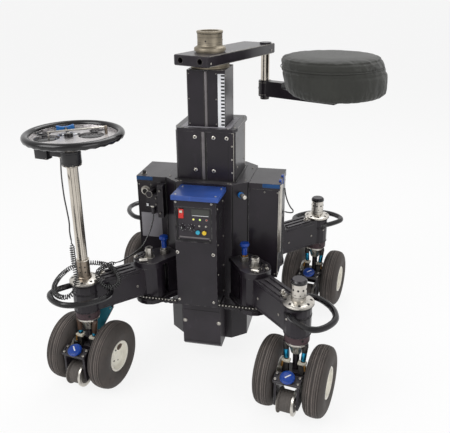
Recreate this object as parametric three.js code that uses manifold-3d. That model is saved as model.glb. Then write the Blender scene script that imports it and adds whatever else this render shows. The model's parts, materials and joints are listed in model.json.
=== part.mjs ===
// Camera dolly: telescopic column on four folding legs with twin wheels, a seat and a steering rod.
// Lengths are in millimetres, +Z is up and the front of the dolly faces -Y.
import * as THREE from 'three';
import { mergeVertices } from 'three/addons/utils/BufferGeometryUtils.js';
import Module from 'manifold-3d';

const wasm = await Module();
wasm.setup();

// Fits and shared values
const SEAT_GAP = 0.3;
const RUN_GAP = 0.8;
const OVERRUN = 1;
const DEG = Math.PI / 180;
const SIDES_BIG = 16;
const SIDES_MID = 12;
const SIDES_SMALL = 8;

// Column housing
const HOUSING_HALF_X = 161;
const HOUSING_HALF_Y = 138;
const HOUSING_FRONT_HALF = 105;
const HOUSING_SIDE_HALF = 91;
const HOUSING_BACK_EXTRA = 22;
const HOUSING_BOTTOM_Z = 78;
const HOUSING_STEP_Z = 262;
const HOUSING_TOP_Z = 735;
const HOUSING_WALL = 4;
const HOUSING_DECK = 8;
const LOWER_INSET = 5;

// Telescopic stages
const MIDDLE_HALF_X = 112;
const MIDDLE_HALF_Y = 101;
const MIDDLE_CHAMFER = 8;
const MIDDLE_BOTTOM_Z = 330;
const MIDDLE_TOP_Z = 931;
const COLLAR_SIDE_PROUD = 4;
const COLLAR_FRONT_PROUD = 3;
const COLLAR_CORNER = 26;
const COLLAR_BACK_EXTRA = 32;
const COLLAR_THICK = 12;
const GROOVE_WIDTH = 12;
const GROOVE_DEPTH = 4;
const INNER_HALF_X = 70;
const INNER_HALF_Y = 75;
const INNER_CHAMFER = 4;
const INNER_BOTTOM_Z = 520;
const INNER_TOP_Z = 1134;
const INNER_WALL = 8;

// Camera adapter
const TURNTABLE_RADIUS = 70;
const TURNTABLE_HEIGHT = 16;
const SPIGOT_RADIUS = 30;
const ADAPTER_BASE_RADIUS = 57.5;
const ADAPTER_BASE_HEIGHT = 15;
const ADAPTER_SLOPE_HEIGHT = 7;
const ADAPTER_FOOT_RADIUS = 52;
const ADAPTER_FOOT_HEIGHT = 5;
const ADAPTER_NECK_RADIUS = 45.5;
const ADAPTER_RIM_RADIUS = 47.5;
const ADAPTER_RIM_HEIGHT = 7;
const ADAPTER_HEIGHT = 73;
const ADAPTER_BORE_RADIUS = 32;
const ADAPTER_BORE_DEPTH = 40;

// Seat beam, its arm and the seat
const BEAM_THICK = 37;
const BEAM_HALF_WIDTH = 73;
const BEAM_FRONT = 122;
const BEAM_BACK = 347;
const BEAM_ANGLE = 68.7 * DEG;
const BEAM_CORNER = 4;
const BEAM_HOLE_RADIUS = 10;
const BEAM_HOLE_INSET = 22;
const BEAM_HOLE_SPREAD = 42;
const POST_ALONG = 302;
const POST_LATERAL = 53.5;
const POST_RADIUS = 16.5;
const POST_COLLAR_RADIUS = 23;
const POST_COLLAR_HEIGHT = 7;
const ARM_HUB_RADIUS = 25.5;
const ARM_HUB_HEIGHT = 62;
const ARM_BELOW_SEAT = 37;
const ARM_CAP_HEIGHT = 13;
const ARM_CAP_RADIUS = 18;
const ARM_HALF_WIDTH = 19;
const ARM_LENGTH = 300;
const ARM_ANGLE = -23.5 * DEG;
const SEAT_RADIUS = 192;
const SEAT_DROP = 128.6;
const SEAT_THICK = 146;
const SEAT_SKIRT_SHARE = 0.61;
const SEAT_CROWN_RISE = 8;
const SEAT_SEAM_DRAW = 4;
const SEAT_PAN_RADIUS = 120;
const SEAT_PAN_THICK = 12;
const SEAT_PAN_CLEARANCE = 1;
const SEAT_BOSS_RADIUS = 26;
const SEAT_SHIFT = 18;
const SEAT_CROWN_SHARE = 0.6;
const SEAT_SIDES = 28;

// Control box on the front of the housing
const CONTROL_HALF_X = 77;
const CONTROL_FRONT_Y = -262;
const CONTROL_BOTTOM_Z = 290;
const CONTROL_TOP_Z = 706;
const LID_HEIGHT = 19;
const LID_PROUD = 9;
const LID_SLOPE = 6;
const PANEL_CENTRE_X = -6;
const PANEL_HALF_X = 64;
const PANEL_BOTTOM_Z = 556;
const PANEL_TOP_Z = 685;
const PANEL_RECESS = 8;
const PANEL_THICK = 3;
const DISPLAY_HALF_X = 34;
const DISPLAY_OFFSET_X = 24;
const DISPLAY_CENTRE_Z = 669;
const DISPLAY_HALF_Z = 15;
const DISPLAY_PROUD = 2;
const ROCKER_OFFSET_X = -47;
const ROCKER_HALF_X = 9;
const ROCKER_CENTRE_Z = 660;
const ROCKER_HALF_Z = 17;
const ROCKER_PROUD = 5;
const ROCKER_BEZEL = 3;
const KNOB_ROW_Z = 607;
const KNOB_OFFSETS_X = [-44, -10];
const KNOB_RADIUS = 9;
const KNOB_PROUD = 9;
const BUTTON_OFFSETS_X = [14, 38];
const BUTTON_ROW_Z = 592;
const BUTTON_RADIUS = 8;
const BUTTON_PROUD = 5;
const BUTTON_TRAVEL = 2;
const BUTTON_STEM_RADIUS = 5;
const LOWER_COVER_HALF_X = 75;
const LOWER_COVER_FRONT_Y = -214;
const LOWER_COVER_BOTTOM_Z = 75;
const LOWER_COVER_TOP_Z = 268;
const LOWER_COVER_SLOPE = 16;

// Battery boxes on both sides of the housing
const BATTERY_WIDTH = 113;
const BATTERY_HALF_Y = 91;
const BATTERY_BOTTOM_Z = 350;
const BATTERY_TOP_Z = 733;
const BATTERY_LID_HEIGHT = 24;
const BATTERY_LID_PROUD = 2;
const BATTERY_WALL = 3;
const BATTERY_VENT = 20;

// Socket for the steering cord on the left battery box
const SOCKET_HALF_X = 11;
const SOCKET_SIDE_GAP = 2;
const SOCKET_CENTRE_X = -(HOUSING_HALF_X + SOCKET_SIDE_GAP + SOCKET_HALF_X);
const SOCKET_DEPTH = 36;
const SOCKET_BOTTOM_Z = 580;
const SOCKET_ARM_LENGTH = 42;
const SOCKET_ARM_BOTTOM_Z = 626;
const SOCKET_ARM_HEIGHT = 44;
const SOCKET_PORT_RADIUS = 12;
const PLUG_OFFSET = 36;
const PLUG_X = SOCKET_CENTRE_X - PLUG_OFFSET;
const PLUG_RADIUS = 8;
const PLUG_LENGTH = 38;

// Legs and their brackets
const PIVOT_X = 205;
const PIVOT_Y = 197;
const KINGPIN_X = 387;
const KINGPIN_Y = 388;
const BRACKET_RADIUS = 60;
const BRACKET_ROOT_HALF = 40;
const BRACKET_ROOT_INSET = 40;
const BRACKET_WEB = 51;
const BRACKET_TOP_Z = 443;
const BRACKET_PLATE = 17;
const BRACKET_BOTTOM_Z = 268;
const HUB_RADIUS = 56;
const PIVOT_BOLT_RADIUS = 12;
const PIVOT_HEAD_RADIUS = 15;
const PIVOT_HEAD_HEIGHT = 40;
const PIVOT_NUT_HEIGHT = 12;
const LOCK_X = 158;
const LOCK_Y = 155;
const LOCK_STEM_RADIUS = 6;
const LOCK_BODY_RADIUS = 10;
const LOCK_KNOB_RADIUS = 17;
const LOCK_TOP_Z = 518;
const LOCK_KNOB_HEIGHT = 14;
const LOCK_COLLAR_RADIUS = 15;
const LOCK_COLLAR_HEIGHT = 20;
const CLAMP_ROD_RADIUS = 5.5;
const CLAMP_ROD_LENGTH = 42;
const CLAMP_ROD_SPREAD = 32;
const BEAM_LEG_HALF = 36;
const LEG_TOP_Z = 427;
const LEG_BOTTOM_Z = 308;
const LEG_RIB_HEIGHT = 7;
const LEG_RIB_WIDTH = 12;
const LEG_RIB_OFFSET = 24;
const LEG_RIB_MARGIN = 12;
const LEG_END_RADIUS = 47;
const LEG_END_TOP_Z = 422;
const HANDLE_RADIUS = 10.5;
const HANDLE_Z = 392;
const HANDLE_REACH = 128;
const HANDLE_SPAN = 112;
const HANDLE_STEPS = 15;
const HANDLE_SIDES = 6;
const SHAFT_RADIUS = 14;
const FLANGE_RADIUS = 53;
const FLANGE_TOP_Z = 436;
const STEER_PIN_RADIUS = 25.5;
const STEER_PIN_TOP_Z = 514;
const STEER_CAP_GROOVE = 3;

// Steering forks, wheels and track wheels
const STEER = -10 * DEG;
const DRUM_RADIUS = 44;
const DRUM_BOTTOM_Z = 279;
const RING_RADIUS = 41;
const RING_HEIGHT = 13;
const NECK_RADIUS = 31;
const NECK_HEIGHT = 28;
const STEM_RADIUS = 12;
const AXLE_RADIUS = 10;
const AXLE_BLOCK_HALF_X = 44;
const AXLE_BLOCK_HALF_Y = 26;
const AXLE_BLOCK_HALF_Z = 30;
const TYRE_RADIUS = 127.5;
const AXLE_Z = TYRE_RADIUS;
const TYRE_HALF_WIDTH = 38.5;
const TYRE_BELLY_SHARE = 0.4;
const TYRE_SHOULDER_SHARE = 0.88;
const TYRE_TREAD_SHARE = 0.72;
const WHEEL_OFFSET = 89.5;
const RIM_RADIUS = 57.5;
const RIM_HALF_WIDTH = 31;
const RIM_FLANGE = 6;
const RIM_WEB = 8;
const RIM_HUB_RADIUS = 22;
const WHEEL_SIDES = 14;
const FORK_PLATE = 8;
const FORK_PLATE_OFFSET = 36;
const TRACK_WHEEL_Y = -88;
const TRACK_WHEEL_Z = 80;
const TRACK_WHEEL_RADIUS = 46;
const TRACK_TREAD_RADIUS = 39;
const TRACK_HALF_WIDTH = 29;
const TRACK_FLANGE = 6;
const TRACK_STUB_RADIUS = 6;
const KNOB_PLATE_HALF_X = 47;
const KNOB_PLATE_HALF = 21;
const KNOB_PLATE_THICK = 8;
const KNOB_PLATE_Y = -98;
const KNOB_PLATE_Z = 178;
const KNOB_PLATE_TILT = 70 * DEG;
const TRACK_KNOB_RADIUS = 25.5;
const TRACK_KNOB_HEIGHT = 13;
const DAMPER_RADIUS = 9;
const DAMPER_FOOT_X = 26;
const DAMPER_HEAD_X = 36;
const DAMPER_Y = -22;
const DAMPER_TOP_Z = 274;
const LINK_HALF_WIDTH = 20;
const LINK_THICK = 8;
const LINK_FOOT = [-20, 62, 170];
const LINK_HEAD = [50, 68, 300];

// Steering chains
const CHAIN_LINKS = 4;
const CHAIN_PITCH = 20;
const CHAIN_HEIGHT = 9;
const CHAIN_WIDTH = 5;
const CHAIN_TOOTH = 3;
const CHAIN_START_X = 92;
const CHAIN_Y = 212;

// Steering rod, wheel and lever
const ROD_RADIUS = 19;
const ROD_SOCKET_RADIUS = 23;
const ROD_SOCKET_HEIGHT = 73;
const ROD_TOP_Z = 860;
const ROD_HUB_RADIUS = 33;
const ROD_HUB_HEIGHT = 50;
const WHEEL_SHAFT_RADIUS = 15;
const SWITCH_ARM_RADIUS = 7;
const SWITCH_NEAR = 89;
const SWITCH_LENGTH = 50;
const SWITCH_HALF_Y = 14;
const SWITCH_BOTTOM_Z = 872;
const SWITCH_HEIGHT = 41;
const GLAND_X = -44;
const GLAND_RADIUS = 4.5;
const GLAND_BOTTOM_Z = 880;
const STEERING_WHEEL_RADIUS = 167;
const STEERING_WHEEL_Z = 966;
const STEERING_WHEEL_SHIFT = [21, -2];
const STEERING_RIM_RADIUS = 13;
const STEERING_FLOOR_DROP = 16;
const STEERING_FLOOR_THICK = 6;
const LEVER_RADIUS = 6;
const LEVER_REACH = 62;
const LEVER_HALF_SPREAD = 30;
const LEVER_RISE = 18;
const LEVER_ANGLE = 135 * DEG;
const LEVER_HUB_RADIUS = 15;
const LEVER_HUB_HEIGHT = 14;

// Cord from the steering rod's switch to the socket: two thin leads and a curly length
const CORD_RADIUS = 2;
const CORD_SIDES = 8;
const CORD_STEP = 12;
const CURL_OUTER_RADIUS = 9;
const CURLS = 39;
const CURL_STEPS = 8;
const CURL_SIDES = 5;
const CURL_END_SHARE = 0.01;
const LEAD_UPPER_ROUTE = [
  [-430.3, -380.4, 879.7], [-430.3, -380.7, 868], [-428, -389, 850], [-421, -405, 825],
  [-414, -418, 795], [-408, -427, 755], [-401, -432, 710], [-397, -434, 668],
  [-398.5, -435, 640], [-397.5, -436, 620], [-396, -436, 604],
];
const CURLY_ROUTE = [
  [-396, -436, 603.7], [-396, -436, 596], [-396, -436, 558], [-395, -437, 508],
  [-389, -443, 473], [-384, -456, 448], [-383, -474, 431], [-390, -492, 420],
  [-408, -504, 416], [-436, -499, 415], [-466, -470, 415], [-488, -420, 415],
  [-492, -366, 420], [-478, -322, 428], [-450, -297, 436], [-420, -287, 440],
  [-385, -279, 440], [-350, -284, 440], [-316, -304, 440], [-288, -330, 438],
  [-268, -354, 425], [-265, -374, 415], [-275, -391, 411], [-295, -402, 412],
  [-314, -402, 424], [-329, -396, 444], [-336, -376, 458], [-328, -350, 462],
  [-313, -324, 463], [-298, -303, 462], [-292, -294.6, 461],
];
const LEAD_LOWER_ROUTE = [
  [-291.8, -294.4, 461], [-285, -287, 461], [-274, -252, 459], [-258, -205, 462],
  [PLUG_X - 27, -172, 480], [PLUG_X - 9, -146, 520], [PLUG_X - 1.5, -126, 555],
  [PLUG_X, -113, 574], [PLUG_X, -109.3, 582], [PLUG_X, -109.3, 587.7],
];

// Colours
const BLACK_PAINT = 0x2a262d;
const BLACK_PLASTIC = 0x1a191c;
const NICKEL = 0xc9c4b8;
const CHROME = 0xd8d5cf;
const BRONZE = 0x8d8878;
const BLUE = 0x1d49a8;
const TEAL = 0x1b86ad;
const TYRE_BLACK = 0x35302c;
const RIM_CREAM = 0xd9d4c4;
const FABRIC = 0x3b3632;
const RED = 0xc02a26;
const YELLOW = 0xd9b52f;

const solidOf = (geometry) => {
  const bare = geometry.index ? geometry.toNonIndexed() : geometry.clone();
  bare.deleteAttribute('normal');
  bare.deleteAttribute('uv');
  const merged = mergeVertices(bare, SEAT_GAP / 1000);
  return new wasm.Manifold(new wasm.Mesh({
    numProp: 3,
    vertProperties: new Float32Array(merged.attributes.position.array),
    triVerts: new Uint32Array(merged.index.array),
  }));
};

const geometryOf = (solid) => {
  const { vertProperties, triVerts } = solid.getMesh();
  const geometry = new THREE.BufferGeometry();
  geometry.setAttribute('position', new THREE.BufferAttribute(new Float32Array(vertProperties), 3));
  geometry.setIndex(new THREE.BufferAttribute(new Uint32Array(triVerts), 1));
  return geometry;
};

const join = (...shapes) => geometryOf(shapes.map(solidOf).reduce((sum, next) => sum.add(next)));
const cut = (shape, ...tools) =>
  geometryOf(tools.map(solidOf).reduce((rest, tool) => rest.subtract(tool), solidOf(shape)));

const box = ([x0, y0, z0], [x1, y1, z1]) => new THREE.BoxGeometry(x1 - x0, y1 - y0, z1 - z0)
  .translate((x0 + x1) / 2, (y0 + y1) / 2, (z0 + z1) / 2);

const cylinder = (radius, bottom, top, sides = SIDES_MID, x = 0, y = 0) =>
  new THREE.CylinderGeometry(radius, radius, top - bottom, sides)
    .rotateX(Math.PI / 2)
    .translate(x, y, (bottom + top) / 2);

const lengthwise = (geometry, direction, centre) => geometry
  .applyQuaternion(new THREE.Quaternion().setFromUnitVectors(
    new THREE.Vector3(0, 0, 1),
    direction.clone().normalize(),
  ))
  .translate(...centre.toArray());

const bar = (from, to, radius, sides = SIDES_SMALL) => {
  const start = new THREE.Vector3(...from);
  const end = new THREE.Vector3(...to);
  const half = start.distanceTo(end) / 2;
  const centre = start.clone().add(end).multiplyScalar(1 / 2);
  return lengthwise(cylinder(radius, -half, half, sides), end.sub(start), centre);
};

const prism = (points, bottom, top) => {
  const shape = new THREE.Shape(points.map(([x, y]) => new THREE.Vector2(x, y)));
  return new THREE.ExtrudeGeometry(shape, { depth: top - bottom, bevelEnabled: false })
    .translate(0, 0, bottom);
};

const lathe = (profile, sides = SIDES_MID) => {
  const points = profile.map(([radius, height]) => new THREE.Vector2(radius, height));
  return new THREE.LatheGeometry([...points, points[0].clone()], sides).rotateX(Math.PI / 2);
};

const octagon = (halfX, halfY, frontHalf, sideHalf) => [
  [frontHalf, -halfY], [halfX, -sideHalf], [halfX, sideHalf], [frontHalf, halfY],
  [-frontHalf, halfY], [-halfX, sideHalf], [-halfX, -sideHalf], [-frontHalf, -halfY],
];

const octagonGrown = (grow) => octagon(
  HOUSING_HALF_X + grow,
  HOUSING_HALF_Y + grow,
  HOUSING_FRONT_HALF + grow / 2,
  HOUSING_SIDE_HALF + grow / 2,
).map(([x, y]) => [x, y > 0 ? y + HOUSING_BACK_EXTRA : y]);

const chamfered = (halfX, halfY, chamfer) =>
  octagon(halfX, halfY, halfX - chamfer, halfY - chamfer);

const paint = (color, roughness, metalness) => ({ color, roughness, metalness });
const FINISH = {
  housing: paint(BLACK_PAINT, 0.45, 0.3),
  plastic: paint(BLACK_PLASTIC, 0.5, 0),
  nickel: paint(NICKEL, 0.3, 0.9),
  chrome: paint(CHROME, 0.15, 1),
  bronze: paint(BRONZE, 0.45, 0.7),
  blue: paint(BLUE, 0.4, 0.2),
  teal: paint(TEAL, 0.4, 0.2),
  tyre: paint(TYRE_BLACK, 0.85, 0),
  rim: paint(RIM_CREAM, 0.4, 0.3),
  fabric: paint(FABRIC, 0.95, 0),
  red: paint(RED, 0.4, 0),
  yellow: paint(YELLOW, 0.4, 0),
};

const dolly = new THREE.Group();
const add = (parent, name, geometry, finish) => {
  const mesh = new THREE.Mesh(geometry, new THREE.MeshStandardMaterial(finish));
  mesh.name = name;
  parent.add(mesh);
  return mesh;
};

// Column: housing with an open well, and two stages that slide in it
const housingGeometry = () => {
  const upper = prism(octagonGrown(0), HOUSING_STEP_Z, HOUSING_TOP_Z);
  const lower = prism(octagonGrown(-LOWER_INSET), HOUSING_BOTTOM_Z, HOUSING_STEP_Z + OVERRUN);
  const wellBottom = HOUSING_BOTTOM_Z + HOUSING_DECK;
  const well = prism(
    octagonGrown(-LOWER_INSET - HOUSING_WALL),
    wellBottom,
    HOUSING_TOP_Z - HOUSING_DECK,
  );
  const mouth = prism(
    chamfered(MIDDLE_HALF_X + RUN_GAP, MIDDLE_HALF_Y + RUN_GAP, MIDDLE_CHAMFER),
    HOUSING_TOP_Z - HOUSING_DECK - OVERRUN,
    HOUSING_TOP_Z + OVERRUN,
  );
  const corners = CORNERS.flatMap((corner) => [bracketGeometry(corner), chainGeometry(corner)]);
  return cut(join(upper, lower, ...corners), well, mouth);
};

const middleStageGeometry = () => {
  const tube = prism(
    chamfered(MIDDLE_HALF_X, MIDDLE_HALF_Y, MIDDLE_CHAMFER),
    MIDDLE_BOTTOM_Z,
    MIDDLE_TOP_Z - COLLAR_THICK + OVERRUN,
  );
  const collar = prism(
    octagon(
      MIDDLE_HALF_X + COLLAR_SIDE_PROUD,
      MIDDLE_HALF_Y + COLLAR_FRONT_PROUD,
      MIDDLE_HALF_X - MIDDLE_CHAMFER,
      MIDDLE_HALF_Y - COLLAR_CORNER,
    ).map(([x, y]) => [x, y > 0 ? y + COLLAR_BACK_EXTRA : y]),
    MIDDLE_TOP_Z - COLLAR_THICK,
    MIDDLE_TOP_Z,
  );
  const bore = prism(
    chamfered(INNER_HALF_X + RUN_GAP, INNER_HALF_Y + RUN_GAP, INNER_CHAMFER),
    MIDDLE_BOTTOM_Z - OVERRUN,
    MIDDLE_TOP_Z + OVERRUN,
  );
  const groove = box(
    [-GROOVE_WIDTH / 2, -MIDDLE_HALF_Y - OVERRUN, MIDDLE_BOTTOM_Z - OVERRUN],
    [GROOVE_WIDTH / 2, -MIDDLE_HALF_Y + GROOVE_DEPTH, MIDDLE_TOP_Z - COLLAR_THICK - SEAT_GAP],
  );
  return cut(join(tube, collar), bore, groove);
};
add(dolly, 'middle_stage', middleStageGeometry(), FINISH.housing);

const innerStageGeometry = () => {
  const tube = prism(
    chamfered(INNER_HALF_X, INNER_HALF_Y, INNER_CHAMFER),
    INNER_BOTTOM_Z,
    INNER_TOP_Z,
  );
  const hollow = prism(
    chamfered(INNER_HALF_X - INNER_WALL, INNER_HALF_Y - INNER_WALL, INNER_CHAMFER),
    INNER_BOTTOM_Z - OVERRUN,
    INNER_TOP_Z - INNER_WALL,
  );
  const groove = box(
    [-GROOVE_WIDTH / 2, -INNER_HALF_Y - OVERRUN, INNER_BOTTOM_Z - OVERRUN],
    [GROOVE_WIDTH / 2, -INNER_HALF_Y + GROOVE_DEPTH, INNER_TOP_Z + OVERRUN],
  );
  return cut(tube, hollow, groove);
};
add(dolly, 'inner_stage', innerStageGeometry(), FINISH.housing);

// Camera adapter on top, with the spigot that the seat beam turns on
const BEAM_BOTTOM_Z = INNER_TOP_Z + SEAT_GAP + TURNTABLE_HEIGHT + SEAT_GAP;
const BEAM_TOP_Z = BEAM_BOTTOM_Z + BEAM_THICK;
const ADAPTER_BOTTOM_Z = BEAM_TOP_Z + SEAT_GAP;
const ADAPTER_TOP_Z = ADAPTER_BOTTOM_Z + ADAPTER_HEIGHT;
const adapterGeometry = () => {
  const turntableTop = BEAM_BOTTOM_Z - SEAT_GAP;
  const neckTop = ADAPTER_TOP_Z - ADAPTER_RIM_HEIGHT;
  return lathe([
    [0, INNER_TOP_Z + SEAT_GAP],
    [TURNTABLE_RADIUS, INNER_TOP_Z + SEAT_GAP],
    [TURNTABLE_RADIUS, turntableTop],
    [SPIGOT_RADIUS, turntableTop],
    [SPIGOT_RADIUS, ADAPTER_BOTTOM_Z],
    [ADAPTER_FOOT_RADIUS, ADAPTER_BOTTOM_Z],
    [ADAPTER_FOOT_RADIUS, ADAPTER_BOTTOM_Z + ADAPTER_FOOT_HEIGHT],
    [ADAPTER_BASE_RADIUS, ADAPTER_BOTTOM_Z + ADAPTER_FOOT_HEIGHT],
    [ADAPTER_BASE_RADIUS, ADAPTER_BOTTOM_Z + ADAPTER_BASE_HEIGHT],
    [ADAPTER_NECK_RADIUS, ADAPTER_BOTTOM_Z + ADAPTER_BASE_HEIGHT + ADAPTER_SLOPE_HEIGHT],
    [ADAPTER_NECK_RADIUS, neckTop],
    [ADAPTER_RIM_RADIUS, neckTop],
    [ADAPTER_RIM_RADIUS, ADAPTER_TOP_Z],
    [ADAPTER_BORE_RADIUS, ADAPTER_TOP_Z],
    [ADAPTER_BORE_RADIUS, ADAPTER_TOP_Z - ADAPTER_BORE_DEPTH],
    [0, ADAPTER_TOP_Z - ADAPTER_BORE_DEPTH],
  ], SIDES_BIG);
};
add(dolly, 'camera_adapter', adapterGeometry(), FINISH.bronze);

// Seat beam, in a group whose X axis runs along the beam
const beam = new THREE.Group();
beam.rotation.z = BEAM_ANGLE;
dolly.add(beam);
const beamGeometry = () => {
  const half = BEAM_HALF_WIDTH;
  const corner = BEAM_CORNER;
  const plate = prism([
    [-BEAM_FRONT, -half], [BEAM_BACK - corner, -half], [BEAM_BACK, -half + corner],
    [BEAM_BACK, half - corner], [BEAM_BACK - corner, half], [-BEAM_FRONT, half],
  ], BEAM_BOTTOM_Z, BEAM_TOP_Z);
  const spigotHole = cylinder(
    SPIGOT_RADIUS + RUN_GAP + SEAT_GAP,
    BEAM_BOTTOM_Z - OVERRUN,
    BEAM_TOP_Z + OVERRUN,
    SIDES_BIG,
  );
  const postHole = cylinder(
    POST_RADIUS + RUN_GAP,
    BEAM_BOTTOM_Z - OVERRUN,
    BEAM_TOP_Z + OVERRUN,
    SIDES_MID,
    POST_ALONG,
    -POST_LATERAL,
  );
  const middleZ = (BEAM_BOTTOM_Z + BEAM_TOP_Z) / 2;
  const endHoles = [-1, 1].map((side) => bar(
    [-BEAM_FRONT - OVERRUN, side * BEAM_HOLE_SPREAD, middleZ],
    [-BEAM_FRONT + BEAM_HOLE_INSET, side * BEAM_HOLE_SPREAD, middleZ],
    BEAM_HOLE_RADIUS,
  ));
  return cut(plate, spigotHole, postHole, ...endHoles);
};
add(beam, 'seat_beam', beamGeometry(), FINISH.housing);

// Seat arm with its post, in a group at the post that points along the arm
const postPlace = new THREE.Vector3(POST_ALONG, -POST_LATERAL, 0)
  .applyAxisAngle(new THREE.Vector3(0, 0, 1), BEAM_ANGLE);
const arm = new THREE.Group();
arm.position.copy(postPlace);
arm.rotation.z = ARM_ANGLE;
dolly.add(arm);
const SEAT_BOTTOM_Z = BEAM_BOTTOM_Z - SEAT_DROP;
const SEAT_PAN_BOTTOM_Z = SEAT_BOTTOM_Z + SEAT_GAP;
const SEAT_TOP_Z = SEAT_BOTTOM_Z + SEAT_THICK;
const SEAT_SKIRT_TOP_Z = SEAT_BOTTOM_Z + SEAT_THICK * SEAT_SKIRT_SHARE;
const ARM_HUB_BOTTOM_Z = SEAT_BOTTOM_Z - ARM_BELOW_SEAT;
const ARM_HUB_TOP_Z = ARM_HUB_BOTTOM_Z + ARM_HUB_HEIGHT;
const armGeometry = () => {
  const post = cylinder(POST_RADIUS, ARM_HUB_TOP_Z - OVERRUN, BEAM_TOP_Z + OVERRUN);
  const collar = cylinder(
    POST_COLLAR_RADIUS,
    BEAM_TOP_Z + SEAT_GAP,
    BEAM_TOP_Z + SEAT_GAP + POST_COLLAR_HEIGHT,
  );
  const hub = cylinder(ARM_HUB_RADIUS, ARM_HUB_BOTTOM_Z, ARM_HUB_TOP_Z);
  const cap = cylinder(
    ARM_CAP_RADIUS,
    ARM_HUB_BOTTOM_Z - ARM_CAP_HEIGHT,
    ARM_HUB_BOTTOM_Z + OVERRUN,
  );
  const seatEdge = ARM_LENGTH - SEAT_RADIUS - SEAT_SHIFT - RUN_GAP;
  const tall = box(
    [0, -ARM_HALF_WIDTH, ARM_HUB_BOTTOM_Z + OVERRUN],
    [seatEdge, ARM_HALF_WIDTH, ARM_HUB_TOP_Z - OVERRUN],
  );
  const low = box(
    [0, -ARM_HALF_WIDTH, ARM_HUB_BOTTOM_Z + OVERRUN],
    [ARM_LENGTH + ARM_HALF_WIDTH, ARM_HALF_WIDTH, SEAT_BOTTOM_Z - SEAT_GAP],
  );
  return join(post, collar, hub, cap, tall, low);
};
add(arm, 'seat_arm', armGeometry(), FINISH.housing);

// Seat: a pan on the arm's end and the padded cushion over it
const seat = new THREE.Group();
seat.position.x = ARM_LENGTH;
arm.add(seat);
const seatPanGeometry = () => join(
  cylinder(SEAT_PAN_RADIUS, SEAT_PAN_BOTTOM_Z, SEAT_PAN_BOTTOM_Z + SEAT_PAN_THICK, SIDES_BIG),
  cylinder(SEAT_BOSS_RADIUS, SEAT_BOTTOM_Z, SEAT_PAN_BOTTOM_Z + OVERRUN),
);
add(seat, 'seat_pan', seatPanGeometry(), FINISH.plastic);

const seatCushionGeometry = () => {
  const skirtRows = [
    [SEAT_PAN_RADIUS + SEAT_PAN_CLEARANCE, SEAT_BOTTOM_Z + SEAT_GAP],
    [SEAT_RADIUS - 2 * SEAT_SEAM_DRAW, SEAT_BOTTOM_Z + SEAT_GAP],
    [SEAT_RADIUS, SEAT_BOTTOM_Z + 3 * SEAT_SEAM_DRAW],
    [SEAT_RADIUS, SEAT_SKIRT_TOP_Z - 2 * SEAT_SEAM_DRAW],
    [SEAT_RADIUS - SEAT_SEAM_DRAW, SEAT_SKIRT_TOP_Z],
    [SEAT_RADIUS, SEAT_SKIRT_TOP_Z + 2 * SEAT_SEAM_DRAW],
    [SEAT_RADIUS, SEAT_TOP_Z - SEAT_CROWN_RISE - 2 * SEAT_SEAM_DRAW],
    [SEAT_RADIUS - SEAT_SEAM_DRAW, SEAT_TOP_Z - SEAT_CROWN_RISE],
    [SEAT_RADIUS * SEAT_CROWN_SHARE, SEAT_TOP_Z - SEAT_CROWN_RISE / 3],
    [0, SEAT_TOP_Z],
    [0, SEAT_PAN_BOTTOM_Z + SEAT_PAN_THICK + SEAT_GAP],
    [SEAT_PAN_RADIUS + SEAT_PAN_CLEARANCE, SEAT_PAN_BOTTOM_Z + SEAT_PAN_THICK + SEAT_GAP],
  ];
  const shifted = lathe(skirtRows, SEAT_SIDES);
  const position = shifted.attributes.position;
  const height = SEAT_TOP_Z - SEAT_BOTTOM_Z;
  for (let index = 0; index < position.count; index += 1) {
    const radius = Math.hypot(position.getX(index), position.getY(index));
    const rise = (position.getZ(index) - SEAT_BOTTOM_Z) / height;
    const lean = radius > SEAT_PAN_RADIUS + 2 * SEAT_PAN_CLEARANCE ? SEAT_SHIFT * (1 / 2 - rise) * 2 : 0;
    position.setX(index, position.getX(index) + lean);
  }
  return geometryOf(solidOf(shifted));
};
add(seat, 'seat_cushion', seatCushionGeometry(), FINISH.fabric);

// Control box, its lid, its panel and what moves on the panel
const PANEL_FACE_Y = CONTROL_FRONT_Y + PANEL_RECESS - PANEL_THICK;
const controlBoxGeometry = () => {
  const shell = box(
    [-CONTROL_HALF_X, CONTROL_FRONT_Y, CONTROL_BOTTOM_Z],
    [CONTROL_HALF_X, -HOUSING_HALF_Y - SEAT_GAP, CONTROL_TOP_Z],
  );
  const recess = box(
    [
      PANEL_CENTRE_X - PANEL_HALF_X - SEAT_GAP,
      CONTROL_FRONT_Y - OVERRUN,
      PANEL_BOTTOM_Z - SEAT_GAP,
    ],
    [
      PANEL_CENTRE_X + PANEL_HALF_X + SEAT_GAP,
      CONTROL_FRONT_Y + PANEL_RECESS + SEAT_GAP,
      PANEL_TOP_Z + SEAT_GAP,
    ],
  );
  return cut(shell, recess);
};
add(dolly, 'control_box', controlBoxGeometry(), FINISH.housing);

const lidGeometry = () => {
  const bottom = CONTROL_TOP_Z + SEAT_GAP;
  const back = -HOUSING_HALF_Y - SEAT_GAP;
  const front = CONTROL_FRONT_Y - LID_PROUD;
  const profile = prism([
    [front, bottom], [back, bottom], [back, bottom + LID_HEIGHT + LID_SLOPE],
    [front + LID_SLOPE, bottom + LID_HEIGHT], [front, bottom + LID_HEIGHT - LID_SLOPE],
  ], -CONTROL_HALF_X - LID_PROUD, CONTROL_HALF_X + LID_PROUD);
  return profile.rotateX(Math.PI / 2).rotateZ(Math.PI / 2);
};
add(dolly, 'control_lid', lidGeometry(), FINISH.blue);

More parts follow.
